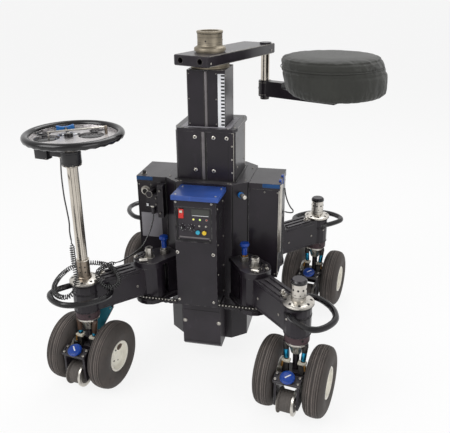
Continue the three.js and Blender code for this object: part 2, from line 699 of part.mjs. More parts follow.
const onPanel = ([offsetX, z], radius, back, front) => bar(
  [PANEL_CENTRE_X + offsetX, PANEL_FACE_Y + back, z],
  [PANEL_CENTRE_X + offsetX, PANEL_FACE_Y + front, z],
  radius,
);
const panelGeometry = () => {
  const plate = box(
    [PANEL_CENTRE_X - PANEL_HALF_X, PANEL_FACE_Y, PANEL_BOTTOM_Z],
    [PANEL_CENTRE_X + PANEL_HALF_X, PANEL_FACE_Y + PANEL_THICK, PANEL_TOP_Z],
  );
  const display = box(
    [
      PANEL_CENTRE_X + DISPLAY_OFFSET_X - DISPLAY_HALF_X,
      PANEL_FACE_Y - DISPLAY_PROUD,
      DISPLAY_CENTRE_Z - DISPLAY_HALF_Z,
    ],
    [
      PANEL_CENTRE_X + DISPLAY_OFFSET_X + DISPLAY_HALF_X,
      PANEL_FACE_Y + OVERRUN,
      DISPLAY_CENTRE_Z + DISPLAY_HALF_Z,
    ],
  );
  const slot = box(
    [
      PANEL_CENTRE_X + ROCKER_OFFSET_X - ROCKER_HALF_X - RUN_GAP,
      PANEL_FACE_Y - OVERRUN,
      ROCKER_CENTRE_Z - ROCKER_HALF_Z - ROCKER_BEZEL,
    ],
    [
      PANEL_CENTRE_X + ROCKER_OFFSET_X + ROCKER_HALF_X + RUN_GAP,
      PANEL_FACE_Y + PANEL_THICK + OVERRUN,
      ROCKER_CENTRE_Z + ROCKER_HALF_Z + ROCKER_BEZEL,
    ],
  );
  const stemHoles = BUTTON_OFFSETS_X.map((offset) => onPanel(
    [offset, BUTTON_ROW_Z],
    BUTTON_STEM_RADIUS + SEAT_GAP,
    PANEL_THICK + OVERRUN,
    -OVERRUN,
  ));
  const knobs = KNOB_OFFSETS_X.map(
    (offset) => onPanel([offset, KNOB_ROW_Z], KNOB_RADIUS, OVERRUN, -KNOB_PROUD),
  );
  return cut(join(plate, display, ...knobs), slot, ...stemHoles);
};
add(dolly, 'control_panel', panelGeometry(), FINISH.plastic);

const rockerGeometry = () => {
  const pivotY = PANEL_FACE_Y;
  const half = ROCKER_HALF_Z;
  const profile = prism([
    [pivotY - ROCKER_PROUD, -half], [pivotY, -half], [pivotY + PANEL_THICK / 2, 0],
    [pivotY, half], [pivotY - ROCKER_PROUD / 2, half], [pivotY - ROCKER_PROUD / 2, 0],
  ], -ROCKER_HALF_X, ROCKER_HALF_X);
  return profile
    .rotateX(Math.PI / 2)
    .rotateZ(Math.PI / 2)
    .translate(PANEL_CENTRE_X + ROCKER_OFFSET_X, 0, ROCKER_CENTRE_Z);
};
add(dolly, 'rocker_switch', rockerGeometry(), FINISH.red);
['left', 'right'].forEach((side, index) => {
  const place = [BUTTON_OFFSETS_X[index], BUTTON_ROW_Z];
  const under = -BUTTON_TRAVEL - SEAT_GAP;
  const button = join(
    onPanel(place, BUTTON_RADIUS, under, under - BUTTON_PROUD),
    onPanel(place, BUTTON_STEM_RADIUS, 2 * SEAT_GAP, under - OVERRUN),
  );
  add(dolly, `panel_button_${side}`, button, index ? FINISH.yellow : FINISH.teal);
});

const lowerCoverGeometry = () => {
  const back = -HOUSING_HALF_Y + LOWER_INSET - SEAT_GAP;
  const profile = prism([
    [LOWER_COVER_FRONT_Y + LOWER_COVER_SLOPE, LOWER_COVER_BOTTOM_Z],
    [back, LOWER_COVER_BOTTOM_Z], [back, HOUSING_STEP_Z - SEAT_GAP],
    [-HOUSING_HALF_Y - SEAT_GAP, HOUSING_STEP_Z - SEAT_GAP],
    [-HOUSING_HALF_Y - SEAT_GAP, LOWER_COVER_TOP_Z],
    [LOWER_COVER_FRONT_Y, LOWER_COVER_TOP_Z],
    [LOWER_COVER_FRONT_Y, LOWER_COVER_BOTTOM_Z + LOWER_COVER_SLOPE],
  ], -LOWER_COVER_HALF_X, LOWER_COVER_HALF_X);
  return profile.rotateX(Math.PI / 2).rotateZ(Math.PI / 2);
};
add(dolly, 'lower_cover', lowerCoverGeometry(), FINISH.housing);

// Battery boxes with an overhanging lid edge and a vent below
const batteryGeometry = (side) => {
  const inner = HOUSING_HALF_X + SEAT_GAP;
  const outer = inner + BATTERY_WIDTH;
  const shell = box(
    [inner, -BATTERY_HALF_Y, BATTERY_BOTTOM_Z],
    [outer, BATTERY_HALF_Y, BATTERY_TOP_Z],
  );
  const lid = box(
    [inner, -BATTERY_HALF_Y - BATTERY_LID_PROUD, BATTERY_TOP_Z - BATTERY_LID_HEIGHT],
    [outer + BATTERY_LID_PROUD, BATTERY_HALF_Y + BATTERY_LID_PROUD, BATTERY_TOP_Z],
  );
  const hollow = box(
    [inner + BATTERY_WALL, -BATTERY_HALF_Y + BATTERY_WALL, BATTERY_BOTTOM_Z + BATTERY_WALL],
    [outer - BATTERY_WALL, BATTERY_HALF_Y - BATTERY_WALL, BATTERY_TOP_Z - BATTERY_WALL],
  );
  const middle = (inner + outer) / 2;
  const vent = box(
    [middle - BATTERY_VENT, -BATTERY_VENT, BATTERY_BOTTOM_Z - OVERRUN],
    [middle + BATTERY_VENT, BATTERY_VENT, BATTERY_BOTTOM_Z + BATTERY_WALL + OVERRUN],
  );
  const shape = cut(join(shell, lid), hollow, vent);
  return side > 0 ? shape : shape.rotateZ(Math.PI);
};
add(dolly, 'battery_box_right', batteryGeometry(1), FINISH.housing);
add(dolly, 'battery_box_left', batteryGeometry(-1), FINISH.housing);

// Socket on the left battery box, with the plug that ends the steering cord
const socketGeometry = () => {
  const back = -BATTERY_HALF_Y - SEAT_GAP;
  const front = back - SOCKET_DEPTH;
  const left = SOCKET_CENTRE_X - SOCKET_HALF_X;
  const armTop = SOCKET_ARM_BOTTOM_Z + SOCKET_ARM_HEIGHT;
  const body = box(
    [left, front, SOCKET_BOTTOM_Z],
    [SOCKET_CENTRE_X + SOCKET_HALF_X, back, BATTERY_TOP_Z - BATTERY_LID_HEIGHT - SEAT_GAP],
  );
  const sideArm = box(
    [left - SOCKET_ARM_LENGTH, front, SOCKET_ARM_BOTTOM_Z],
    [left + OVERRUN, back, armTop],
  );
  const portX = left - SOCKET_ARM_LENGTH + SOCKET_PORT_RADIUS;
  const port = bar(
    [portX, back - OVERRUN, armTop + SOCKET_PORT_RADIUS / 2],
    [portX, front - SOCKET_PORT_RADIUS / 2, armTop + SOCKET_PORT_RADIUS / 2],
    SOCKET_PORT_RADIUS,
  );
  const plug = cylinder(
    PLUG_RADIUS,
    SOCKET_ARM_BOTTOM_Z - PLUG_LENGTH,
    SOCKET_ARM_BOTTOM_Z + OVERRUN,
    SIDES_SMALL,
    PLUG_X,
    back - SOCKET_DEPTH / 2,
  );
  return join(body, sideArm, port, plug);
};
add(dolly, 'cord_socket', socketGeometry(), FINISH.plastic);

// Corner values: signs of X and Y, and the rest angle of the steering fork
const CORNERS = [
  { name: 'front_left', x: -1, y: -1, rod: true },
  { name: 'front_right', x: 1, y: -1, rod: false },
  { name: 'back_left', x: -1, y: 1, rod: false },
  { name: 'back_right', x: 1, y: 1, rod: false },
];
const LEG_LENGTH = Math.hypot(KINGPIN_X - PIVOT_X, KINGPIN_Y - PIVOT_Y);
const legAngle = ({ x, y }) => Math.atan2(y * (KINGPIN_Y - PIVOT_Y), x * (KINGPIN_X - PIVOT_X));

// Brackets on the housing's four chamfers, and the bolts that the legs turn on
const bracketGeometry = ({ x, y }) => {
  const along = new THREE.Vector2(PIVOT_X - HOUSING_FRONT_HALF, PIVOT_Y - HOUSING_SIDE_HALF);
  along.normalize();
  const across = new THREE.Vector2(-along.y, along.x);
  const pivot = new THREE.Vector2(PIVOT_X, PIVOT_Y);
  const chamferMiddle = new THREE.Vector2(
    (HOUSING_HALF_X + HOUSING_FRONT_HALF) / 2,
    (HOUSING_HALF_Y + HOUSING_SIDE_HALF) / 2,
  );
  const root = chamferMiddle.clone().addScaledVector(along, -BRACKET_ROOT_INSET);
  const webEnd = chamferMiddle.clone().addScaledVector(along, BRACKET_WEB);
  const corner = (from, half) => from.clone().addScaledVector(across, half).toArray();
  const outline = [
    corner(root, -BRACKET_ROOT_HALF), corner(pivot, -BRACKET_RADIUS + OVERRUN),
    corner(pivot, BRACKET_RADIUS - OVERRUN), corner(root, BRACKET_ROOT_HALF),
  ];
  const webOutline = [
    corner(root, -BRACKET_ROOT_HALF), corner(webEnd, -BRACKET_ROOT_HALF),
    corner(webEnd, BRACKET_ROOT_HALF), corner(root, BRACKET_ROOT_HALF),
  ];
  const plate = (bottom, top) => join(
    prism(outline, bottom, top),
    cylinder(BRACKET_RADIUS, bottom, top, SIDES_BIG, PIVOT_X, PIVOT_Y),
  );
  const solid = join(
    plate(BRACKET_TOP_Z - BRACKET_PLATE, BRACKET_TOP_Z),
    plate(BRACKET_BOTTOM_Z, BRACKET_BOTTOM_Z + BRACKET_PLATE),
    prism(webOutline, BRACKET_BOTTOM_Z, BRACKET_TOP_Z),
  );
  const boxSpace = box(
    [0, 0, BATTERY_BOTTOM_Z - SEAT_GAP],
    [
      HOUSING_HALF_X + BATTERY_WIDTH + 2 * SEAT_GAP,
      BATTERY_HALF_Y + SEAT_GAP,
      BRACKET_TOP_Z + OVERRUN,
    ],
  );
  const boltHole = cylinder(
    PIVOT_BOLT_RADIUS + RUN_GAP,
    BRACKET_BOTTOM_Z - OVERRUN,
    BRACKET_TOP_Z + OVERRUN,
    SIDES_MID,
    PIVOT_X,
    PIVOT_Y,
  );
  const lockHole = cylinder(
    LOCK_STEM_RADIUS + RUN_GAP,
    BRACKET_TOP_Z - BRACKET_PLATE,
    BRACKET_TOP_Z + LOCK_COLLAR_HEIGHT + OVERRUN,
    SIDES_SMALL,
    LOCK_X,
    LOCK_Y,
  );
  const dressed = join(solid, lockCollar(), ...clampRods());
  const shape = cut(dressed, boxSpace, boltHole, lockHole);
  return mirrored(shape, x, y);
};

const mirrored = (shape, x, y) => {
  const geometry = shape.index ? shape.toNonIndexed() : shape.clone();
  geometry.scale(x, y, 1);
  if (x * y < 0) {
    const position = geometry.attributes.position;
    for (let index = 0; index < position.count; index += 3) {
      const second = new THREE.Vector3().fromBufferAttribute(position, index + 1);
      const third = new THREE.Vector3().fromBufferAttribute(position, index + 2);
      position.setXYZ(index + 1, ...third.toArray());
      position.setXYZ(index + 2, ...second.toArray());
    }
  }
  return geometry;
};

const lockCollar = () => cylinder(
  LOCK_COLLAR_RADIUS,
  BRACKET_TOP_Z - OVERRUN,
  BRACKET_TOP_Z + LOCK_COLLAR_HEIGHT,
  SIDES_MID,
  LOCK_X,
  LOCK_Y,
);
const clampRods = () => [-1, 1].map((side) => {
  const x = PIVOT_X + CLAMP_ROD_SPREAD;
  const y = PIVOT_Y + (side * CLAMP_ROD_SPREAD) / 2;
  const z = BRACKET_TOP_Z + CLAMP_ROD_RADIUS / 2;
  return bar([x - CLAMP_ROD_SPREAD / 3, y - CLAMP_ROD_LENGTH / 2, z],
    [x + CLAMP_ROD_SPREAD / 3, y + CLAMP_ROD_LENGTH / 2, z], CLAMP_ROD_RADIUS, HANDLE_SIDES);
});

const boltGeometry = ({ x, y }) => {
  const headBottom = BRACKET_TOP_Z + SEAT_GAP;
  const nutTop = BRACKET_BOTTOM_Z - SEAT_GAP;
  return lathe([
    [0, nutTop - PIVOT_NUT_HEIGHT], [PIVOT_HEAD_RADIUS, nutTop - PIVOT_NUT_HEIGHT],
    [PIVOT_HEAD_RADIUS, nutTop], [PIVOT_BOLT_RADIUS, nutTop], [PIVOT_BOLT_RADIUS, headBottom],
    [PIVOT_HEAD_RADIUS, headBottom], [PIVOT_HEAD_RADIUS, headBottom + PIVOT_HEAD_HEIGHT],
    [0, headBottom + PIVOT_HEAD_HEIGHT],
  ], SIDES_SMALL).translate(x * PIVOT_X, y * PIVOT_Y, 0);
};

// Steering chain below each bracket, as one toothed run
const chainGeometry = ({ x, y }) => {
  const bottom = BRACKET_BOTTOM_Z - CHAIN_HEIGHT;
  const outline = [[CHAIN_START_X, BRACKET_BOTTOM_Z + OVERRUN]];
  for (let link = 0; link < CHAIN_LINKS; link += 1) {
    const start = CHAIN_START_X + link * CHAIN_PITCH;
    outline.push([start, bottom + CHAIN_TOOTH], [start + CHAIN_PITCH / 2, bottom]);
  }
  const end = CHAIN_START_X + CHAIN_LINKS * CHAIN_PITCH;
  outline.push([end, bottom + CHAIN_TOOTH], [end, BRACKET_BOTTOM_Z + OVERRUN]);
  const run = prism(outline.reverse(), CHAIN_Y - CHAIN_WIDTH, CHAIN_Y + CHAIN_WIDTH)
    .rotateX(Math.PI / 2)
    .translate(0, 2 * CHAIN_Y, 0);
  return mirrored(run, x, y);
};

const lockPinGeometry = ({ x, y }) => {
  const collarTop = BRACKET_TOP_Z + SEAT_GAP + LOCK_COLLAR_HEIGHT + SEAT_GAP;
  const profile = lathe([
    [0, BRACKET_TOP_Z - BRACKET_PLATE + OVERRUN],
    [LOCK_STEM_RADIUS, BRACKET_TOP_Z - BRACKET_PLATE + OVERRUN],
    [LOCK_STEM_RADIUS, collarTop],
    [LOCK_BODY_RADIUS, collarTop],
    [LOCK_BODY_RADIUS, LOCK_TOP_Z - LOCK_KNOB_HEIGHT],
    [LOCK_KNOB_RADIUS, LOCK_TOP_Z - LOCK_KNOB_HEIGHT / 2],
    [LOCK_KNOB_RADIUS, LOCK_TOP_Z],
    [0, LOCK_TOP_Z],
  ], SIDES_SMALL);
  return profile.translate(x * LOCK_X, y * LOCK_Y, 0);
};

add(dolly, 'column_housing', housingGeometry(), FINISH.housing);

// Leg: hub, beam with raised ribs, end cylinder and the handle loop, along the group's X axis
const HANDLE_SHARES = [
  [-0.224, -0.208], [0.075, -0.389], [0.463, -0.431], [0.836, -0.375], [1, -0.139],
  [1, 0.25], [0.851, 0.639], [0.522, 0.903], [0.134, 1], [-0.254, 0.958],
  [-0.493, 0.722], [-0.552, 0.417], [-0.552, 0.167],
];
const handleGeometry = () => {
  const route = HANDLE_SHARES.map(([outward, across]) => new THREE.Vector3(
    LEG_LENGTH + outward * HANDLE_REACH,
    across * HANDLE_SPAN,
    HANDLE_Z,
  ));
  const curve = new THREE.CatmullRomCurve3(route);
  const section = new THREE.Shape(Array.from({ length: HANDLE_SIDES }, (_, index) => {
    const angle = (index / HANDLE_SIDES) * 2 * Math.PI;
    return new THREE.Vector2(HANDLE_RADIUS * Math.cos(angle), HANDLE_RADIUS * Math.sin(angle));
  }));
  return new THREE.ExtrudeGeometry(section, {
    steps: HANDLE_STEPS,
    bevelEnabled: false,
    extrudePath: curve,
  });
};

const legGeometry = () => {
  const hubBottom = BRACKET_BOTTOM_Z + BRACKET_PLATE + SEAT_GAP;
  const hubTop = BRACKET_TOP_Z - BRACKET_PLATE - SEAT_GAP;
  const hub = cylinder(HUB_RADIUS, hubBottom, hubTop, SIDES_BIG);
  const beamSolid = box(
    [0, -BEAM_LEG_HALF, LEG_BOTTOM_Z],
    [LEG_LENGTH, BEAM_LEG_HALF, LEG_END_TOP_Z - SEAT_GAP],
  );
  const ribStart = BRACKET_RADIUS + LEG_RIB_MARGIN;
  const ribEnd = LEG_LENGTH - FLANGE_RADIUS - LEG_RIB_MARGIN;
  const raised = box(
    [ribStart, -BEAM_LEG_HALF, LEG_BOTTOM_Z + OVERRUN],
    [ribEnd, BEAM_LEG_HALF, LEG_TOP_Z - LEG_RIB_HEIGHT + SEAT_GAP],
  );
  const ribs = [-1, 0, 1].map((side) => box(
    [ribStart, side * LEG_RIB_OFFSET - LEG_RIB_WIDTH / 2, LEG_END_TOP_Z - 2 * OVERRUN],
    [ribEnd, side * LEG_RIB_OFFSET + LEG_RIB_WIDTH / 2, LEG_TOP_Z],
  ));
  const end = cylinder(LEG_END_RADIUS, LEG_BOTTOM_Z, LEG_END_TOP_Z, SIDES_BIG, LEG_LENGTH);
  const handle = handleGeometry();
  const boltHole = cylinder(
    PIVOT_BOLT_RADIUS + RUN_GAP,
    hubBottom - OVERRUN,
    hubTop + OVERRUN,
  );
  const shaftHole = cylinder(
    SHAFT_RADIUS + RUN_GAP,
    LEG_BOTTOM_Z - OVERRUN,
    FLANGE_TOP_Z + OVERRUN,
    SIDES_MID,
    LEG_LENGTH,
  );
  const flange = lathe([
    [0, LEG_END_TOP_Z - OVERRUN], [LEG_END_RADIUS - OVERRUN, LEG_END_TOP_Z - OVERRUN],
    [FLANGE_RADIUS, LEG_END_TOP_Z], [FLANGE_RADIUS, (FLANGE_TOP_Z + LEG_END_TOP_Z) / 2],
    [STEER_PIN_RADIUS, FLANGE_TOP_Z], [0, FLANGE_TOP_Z],
  ], SIDES_BIG).translate(LEG_LENGTH, 0, 0);
  return cut(join(hub, beamSolid, raised, ...ribs, end, flange, handle), boltHole, shaftHole);
};

// Steering fork: kingpin, drum, ring, stem, axle block, axle, dampers and track wheel bracket
const linkGeometry = () => {
  const [footX, footY, footZ] = LINK_FOOT;
  const [headX, headY, headZ] = LINK_HEAD;
  const ring = (x, y, z) => [
    [x - LINK_HALF_WIDTH, y - LINK_THICK / 2, z], [x + LINK_HALF_WIDTH, y - LINK_THICK / 2, z],
    [x + LINK_HALF_WIDTH, y + LINK_THICK / 2, z], [x - LINK_HALF_WIDTH, y + LINK_THICK / 2, z],
  ];
  const corners = [...ring(footX, footY, footZ), ...ring(headX, headY, headZ)];
  const faces = [
    [0, 2, 1], [0, 3, 2], [4, 5, 6], [4, 6, 7], [0, 1, 5], [0, 5, 4],
    [1, 2, 6], [1, 6, 5], [2, 3, 7], [2, 7, 6], [3, 0, 4], [3, 4, 7],
  ];
  const geometry = new THREE.BufferGeometry();
  geometry.setAttribute(
    'position',
    new THREE.Float32BufferAttribute(faces.flatMap((face) => face.flatMap((k) => corners[k])), 3),
  );
  return geometry;
};

const knobPlate = (geometry) => geometry
  .rotateX(Math.PI / 2 - KNOB_PLATE_TILT)
  .translate(0, KNOB_PLATE_Y, KNOB_PLATE_Z);

const forkGeometry = (hasRod) => {
  const shaftTop = FLANGE_TOP_Z + SEAT_GAP;
  const blockTop = AXLE_Z + AXLE_BLOCK_HALF_Z;
  const blockBottom = AXLE_Z - AXLE_BLOCK_HALF_Z;
  const column = lathe([
    [0, blockTop - OVERRUN], [STEM_RADIUS, blockTop - OVERRUN],
    [STEM_RADIUS, DRUM_BOTTOM_Z - RING_HEIGHT - NECK_HEIGHT],
    [NECK_RADIUS, DRUM_BOTTOM_Z - RING_HEIGHT], [RING_RADIUS, DRUM_BOTTOM_Z - RING_HEIGHT / 2],
    [RING_RADIUS, DRUM_BOTTOM_Z], [DRUM_RADIUS, DRUM_BOTTOM_Z],
    [DRUM_RADIUS, LEG_BOTTOM_Z - SEAT_GAP], [SHAFT_RADIUS, LEG_BOTTOM_Z - SEAT_GAP],
    [SHAFT_RADIUS, shaftTop], [0, shaftTop],
  ], SIDES_MID);
  const pieces = [column];
  if (!hasRod) {
    const capTop = STEER_PIN_TOP_Z;
    pieces.push(lathe([
      [0, shaftTop - OVERRUN], [SHAFT_RADIUS, shaftTop - OVERRUN], [SHAFT_RADIUS, shaftTop],
      [STEER_PIN_RADIUS, shaftTop], [STEER_PIN_RADIUS, capTop - STEER_CAP_GROOVE],
      [STEER_PIN_RADIUS - STEER_CAP_GROOVE, capTop], [0, capTop],
    ], SIDES_MID));
  }
  pieces.push(box(
    [-AXLE_BLOCK_HALF_X, -AXLE_BLOCK_HALF_Y, blockBottom],
    [AXLE_BLOCK_HALF_X, AXLE_BLOCK_HALF_Y, blockTop],
  ));
  const armEnd = KNOB_PLATE_HALF - KNOB_PLATE_THICK;
  const armTop = (y) => KNOB_PLATE_Z - KNOB_PLATE_THICK / 2 + y / Math.tan(KNOB_PLATE_TILT);
  [-1, 1].forEach((side) => {
    const inside = FORK_PLATE_OFFSET;
    const outline = [
      [-AXLE_BLOCK_HALF_Y / 2, blockTop - OVERRUN],
      [KNOB_PLATE_Y + armEnd, armTop(armEnd)], [KNOB_PLATE_Y - armEnd, armTop(-armEnd)],
      [KNOB_PLATE_Y - armEnd, TRACK_WHEEL_Z - TRACK_STUB_RADIUS * 2],
      [TRACK_WHEEL_Y + TRACK_STUB_RADIUS * 2, TRACK_WHEEL_Z - TRACK_STUB_RADIUS * 2],
      [-AXLE_BLOCK_HALF_Y / 2, blockBottom + OVERRUN],
    ];
    const plate = prism(outline, inside, inside + FORK_PLATE)
      .rotateX(Math.PI / 2)
      .rotateZ(Math.PI / 2);
    const place = side > 0 ? 0 : -2 * inside - FORK_PLATE;
    pieces.push(plate.translate(place, 0, 0));
    pieces.push(bar(
      [side * DAMPER_FOOT_X, DAMPER_Y, blockTop - OVERRUN],
      [side * DAMPER_HEAD_X, DAMPER_Y / 2, DAMPER_TOP_Z + OVERRUN],
      DAMPER_RADIUS,
    ));
  });
  pieces.push(knobPlate(box(
    [-KNOB_PLATE_HALF_X, -KNOB_PLATE_HALF, -KNOB_PLATE_THICK],
    [KNOB_PLATE_HALF_X, KNOB_PLATE_HALF, 0],
  )));
  if (hasRod) {
    const [footX, footY, footZ] = LINK_FOOT;
    pieces.push(linkGeometry());
    pieces.push(box(
      [footX - LINK_HALF_WIDTH, 0, blockTop - OVERRUN],
      [footX + LINK_HALF_WIDTH, footY + LINK_THICK / 2, footZ + LINK_THICK],
    ));
  }
  const reach = AXLE_BLOCK_HALF_X + OVERRUN;
  const bore = bar([-reach, 0, AXLE_Z], [reach, 0, AXLE_Z], AXLE_RADIUS + RUN_GAP, WHEEL_SIDES);
  return cut(join(...pieces), bore);
};

// One wheel pair: two tyres, and an axle with a rim on each end that turns in the fork
const sideways = (profile, side) => lathe(profile, WHEEL_SIDES)
  .rotateY((side * Math.PI) / 2)
  .translate(side * WHEEL_OFFSET, 0, AXLE_Z);
const RIDGE_RADIUS = TYRE_RADIUS / Math.cos(Math.PI / WHEEL_SIDES);
const tyreGeometry = (side) => {
  const seatRadius = RIM_RADIUS + SEAT_GAP;
  const wall = TYRE_RADIUS - RIM_RADIUS;
  const belly = RIM_RADIUS + wall * TYRE_BELLY_SHARE;
  const shoulder = RIM_RADIUS + wall * TYRE_SHOULDER_SHARE;
  const tread = TYRE_HALF_WIDTH * TYRE_TREAD_SHARE;
  return sideways([
    [seatRadius, -RIM_HALF_WIDTH + RIM_FLANGE], [belly, -TYRE_HALF_WIDTH], [shoulder, -tread],
    [RIDGE_RADIUS, 0],
    [shoulder, tread], [belly, TYRE_HALF_WIDTH], [seatRadius, RIM_HALF_WIDTH - RIM_FLANGE],
  ], side);
};
const rimGeometry = (side) => {
  const bore = AXLE_RADIUS - OVERRUN;
  const lip = RIM_HALF_WIDTH - RIM_FLANGE;
  const well = RIM_RADIUS - RIM_FLANGE;
  return sideways([
    [bore, 0], [well, 0], [well, -lip], [RIM_RADIUS, -lip], [RIM_RADIUS, lip],
    [well, RIM_HALF_WIDTH], [RIM_HUB_RADIUS, RIM_WEB], [RIM_HUB_RADIUS, lip], [bore, lip],
  ], side);
};

const wheelsetGeometry = () => {
  const reach = WHEEL_OFFSET + RIM_HALF_WIDTH;
  const axle = bar([-reach, 0, AXLE_Z], [reach, 0, AXLE_Z], AXLE_RADIUS, WHEEL_SIDES);
  return join(rimGeometry(-1), axle, rimGeometry(1));
};

const trackWheelGeometry = () => {
  const end = FORK_PLATE_OFFSET - SEAT_GAP;
  const flange = TRACK_HALF_WIDTH - TRACK_FLANGE;
  return lathe([
    [0, -end], [TRACK_STUB_RADIUS, -end], [TRACK_STUB_RADIUS, -TRACK_HALF_WIDTH],
    [TRACK_WHEEL_RADIUS, -TRACK_HALF_WIDTH], [TRACK_TREAD_RADIUS, -flange],
    [TRACK_TREAD_RADIUS, flange], [TRACK_WHEEL_RADIUS, TRACK_HALF_WIDTH],
    [TRACK_STUB_RADIUS, TRACK_HALF_WIDTH], [TRACK_STUB_RADIUS, end], [0, end],
  ], SIDES_MID).rotateY(Math.PI / 2).translate(0, TRACK_WHEEL_Y, TRACK_WHEEL_Z);
};
const trackKnobGeometry = () => knobPlate(
  cylinder(TRACK_KNOB_RADIUS, SEAT_GAP, SEAT_GAP + TRACK_KNOB_HEIGHT, SIDES_MID),
);

// Steering rod, wheel and lever on the front left kingpin
const rodGeometry = () => {
  const bottom = FLANGE_TOP_Z + 2 * SEAT_GAP;
  const hubTop = ROD_TOP_Z + ROD_HUB_HEIGHT;
  const rod = lathe([
    [0, bottom], [ROD_SOCKET_RADIUS, bottom], [ROD_SOCKET_RADIUS, bottom + ROD_SOCKET_HEIGHT],
    [ROD_RADIUS, bottom + ROD_SOCKET_HEIGHT], [ROD_RADIUS, ROD_TOP_Z],
    [ROD_HUB_RADIUS, ROD_TOP_Z], [ROD_HUB_RADIUS, hubTop], [WHEEL_SHAFT_RADIUS, hubTop],
    [WHEEL_SHAFT_RADIUS, STEERING_WHEEL_Z - STEERING_FLOOR_DROP - SEAT_GAP],
    [0, STEERING_WHEEL_Z - STEERING_FLOOR_DROP - SEAT_GAP],
  ], SIDES_MID);
  const armZ = SWITCH_BOTTOM_Z + SWITCH_HEIGHT / 2;
  const switchArm = bar([0, 0, armZ], [-SWITCH_NEAR - OVERRUN, 0, armZ], SWITCH_ARM_RADIUS);
  const switchBox = box(
    [-SWITCH_NEAR - SWITCH_LENGTH, -SWITCH_HALF_Y, SWITCH_BOTTOM_Z],
    [-SWITCH_NEAR, SWITCH_HALF_Y, SWITCH_BOTTOM_Z + SWITCH_HEIGHT],
  );
  const gland = cylinder(GLAND_RADIUS, GLAND_BOTTOM_Z, armZ, SIDES_SMALL, GLAND_X);
  return join(rod, switchArm, switchBox, gland);
};
const STEERING_DISH_Z = STEERING_WHEEL_Z - STEERING_FLOOR_DROP + STEERING_FLOOR_THICK;
const steeringWheelGeometry = () => {
  const outer = STEERING_WHEEL_RADIUS;
  const middle = outer - STEERING_RIM_RADIUS;
  const inner = middle - STEERING_RIM_RADIUS;
  const bulge = STEERING_RIM_RADIUS / 2;
  const floor = STEERING_DISH_Z - STEERING_WHEEL_Z;
  return lathe([
    [0, -STEERING_FLOOR_DROP], [inner, -STEERING_FLOOR_DROP], [middle, -STEERING_RIM_RADIUS],
    [outer, -bulge], [outer, bulge], [middle, STEERING_RIM_RADIUS], [inner, bulge],
    [inner, floor], [0, floor],
  ], 2 * WHEEL_SIDES).translate(...STEERING_WHEEL_SHIFT, STEERING_WHEEL_Z);
};
const leverGeometry = () => {
  const bottom = STEERING_DISH_Z + SEAT_GAP;
  const hub = cylinder(LEVER_HUB_RADIUS, bottom, bottom + LEVER_HUB_HEIGHT, SIDES_SMALL);
  const z = bottom + LEVER_RISE;
  const route = [
    [0, 0, bottom + LEVER_HUB_HEIGHT / 2], [LEVER_REACH / 2, 0, z], [LEVER_REACH, 0, z],
  ];
  const stem = [0, 1].map((index) => bar(route[index], route[index + 1], LEVER_RADIUS));
  const grip = bar(
    [LEVER_REACH, -LEVER_HALF_SPREAD, z],
    [LEVER_REACH, LEVER_HALF_SPREAD, z],
    LEVER_RADIUS + OVERRUN,
  );
  return join(hub, ...stem, grip).rotateZ(LEVER_ANGLE);
};

CORNERS.forEach((corner) => {
  const { name, x, y, rod } = corner;
  add(dolly, `pivot_bolt_${name}`, boltGeometry(corner), FINISH.nickel);
  add(dolly, `lock_pin_${name}`, lockPinGeometry(corner), FINISH.blue);
  const leg = new THREE.Group();
  leg.position.set(x * PIVOT_X, y * PIVOT_Y, 0);
  leg.rotation.z = legAngle(corner);
  dolly.add(leg);
  add(leg, `leg_${name}`, legGeometry(), FINISH.housing);
  const fork = new THREE.Group();
  fork.position.set(x * KINGPIN_X, y * KINGPIN_Y, 0);
  fork.rotation.z = STEER;
  dolly.add(fork);
  add(fork, `steering_fork_${name}`, forkGeometry(rod), FINISH.nickel);
  add(fork, `tyre_${name}_outer`, tyreGeometry(x), FINISH.tyre);
  add(fork, `tyre_${name}_inner`, tyreGeometry(-x), FINISH.tyre);
  add(fork, `wheelset_${name}`, wheelsetGeometry(), FINISH.rim);
  add(fork, `track_wheel_${name}`, trackWheelGeometry(), FINISH.plastic);
  add(fork, `track_knob_${name}`, trackKnobGeometry(), FINISH.blue);
  if (rod) {
    add(fork, 'steering_rod', rodGeometry(), FINISH.chrome);
    add(fork, 'steering_wheel', steeringWheelGeometry(), FINISH.plastic);
    add(fork, 'throttle_lever', leverGeometry(), FINISH.blue);
  }
});

// The origin is the middle of the dolly's footprint, on the floor
dolly.updateMatrixWorld(true);
const extent = new THREE.Box3().setFromObject(dolly, true);
dolly.position.set(-(extent.min.x + extent.max.x) / 2, -(extent.min.y + extent.max.y) / 2, 0);

// Cord leads as plain tubes, and the curly length as one tube wound round its route
const smooth = (route) => new THREE.CatmullRomCurve3(
  route.map((point) => new THREE.Vector3(...point)),
  false,
  'centripetal',
);
const leadGeometry = (route) => {
  const curve = smooth(route);
  const section = new THREE.Shape(Array.from({ length: CORD_SIDES }, (_, index) => {
    const angle = (index / CORD_SIDES) * 2 * Math.PI;
    return new THREE.Vector2(CORD_RADIUS * Math.cos(angle), CORD_RADIUS * Math.sin(angle));
  }));
  return new THREE.ExtrudeGeometry(section, {
    steps: Math.ceil(curve.getLength() / CORD_STEP),
    bevelEnabled: false,
    extrudePath: curve,
  });
};

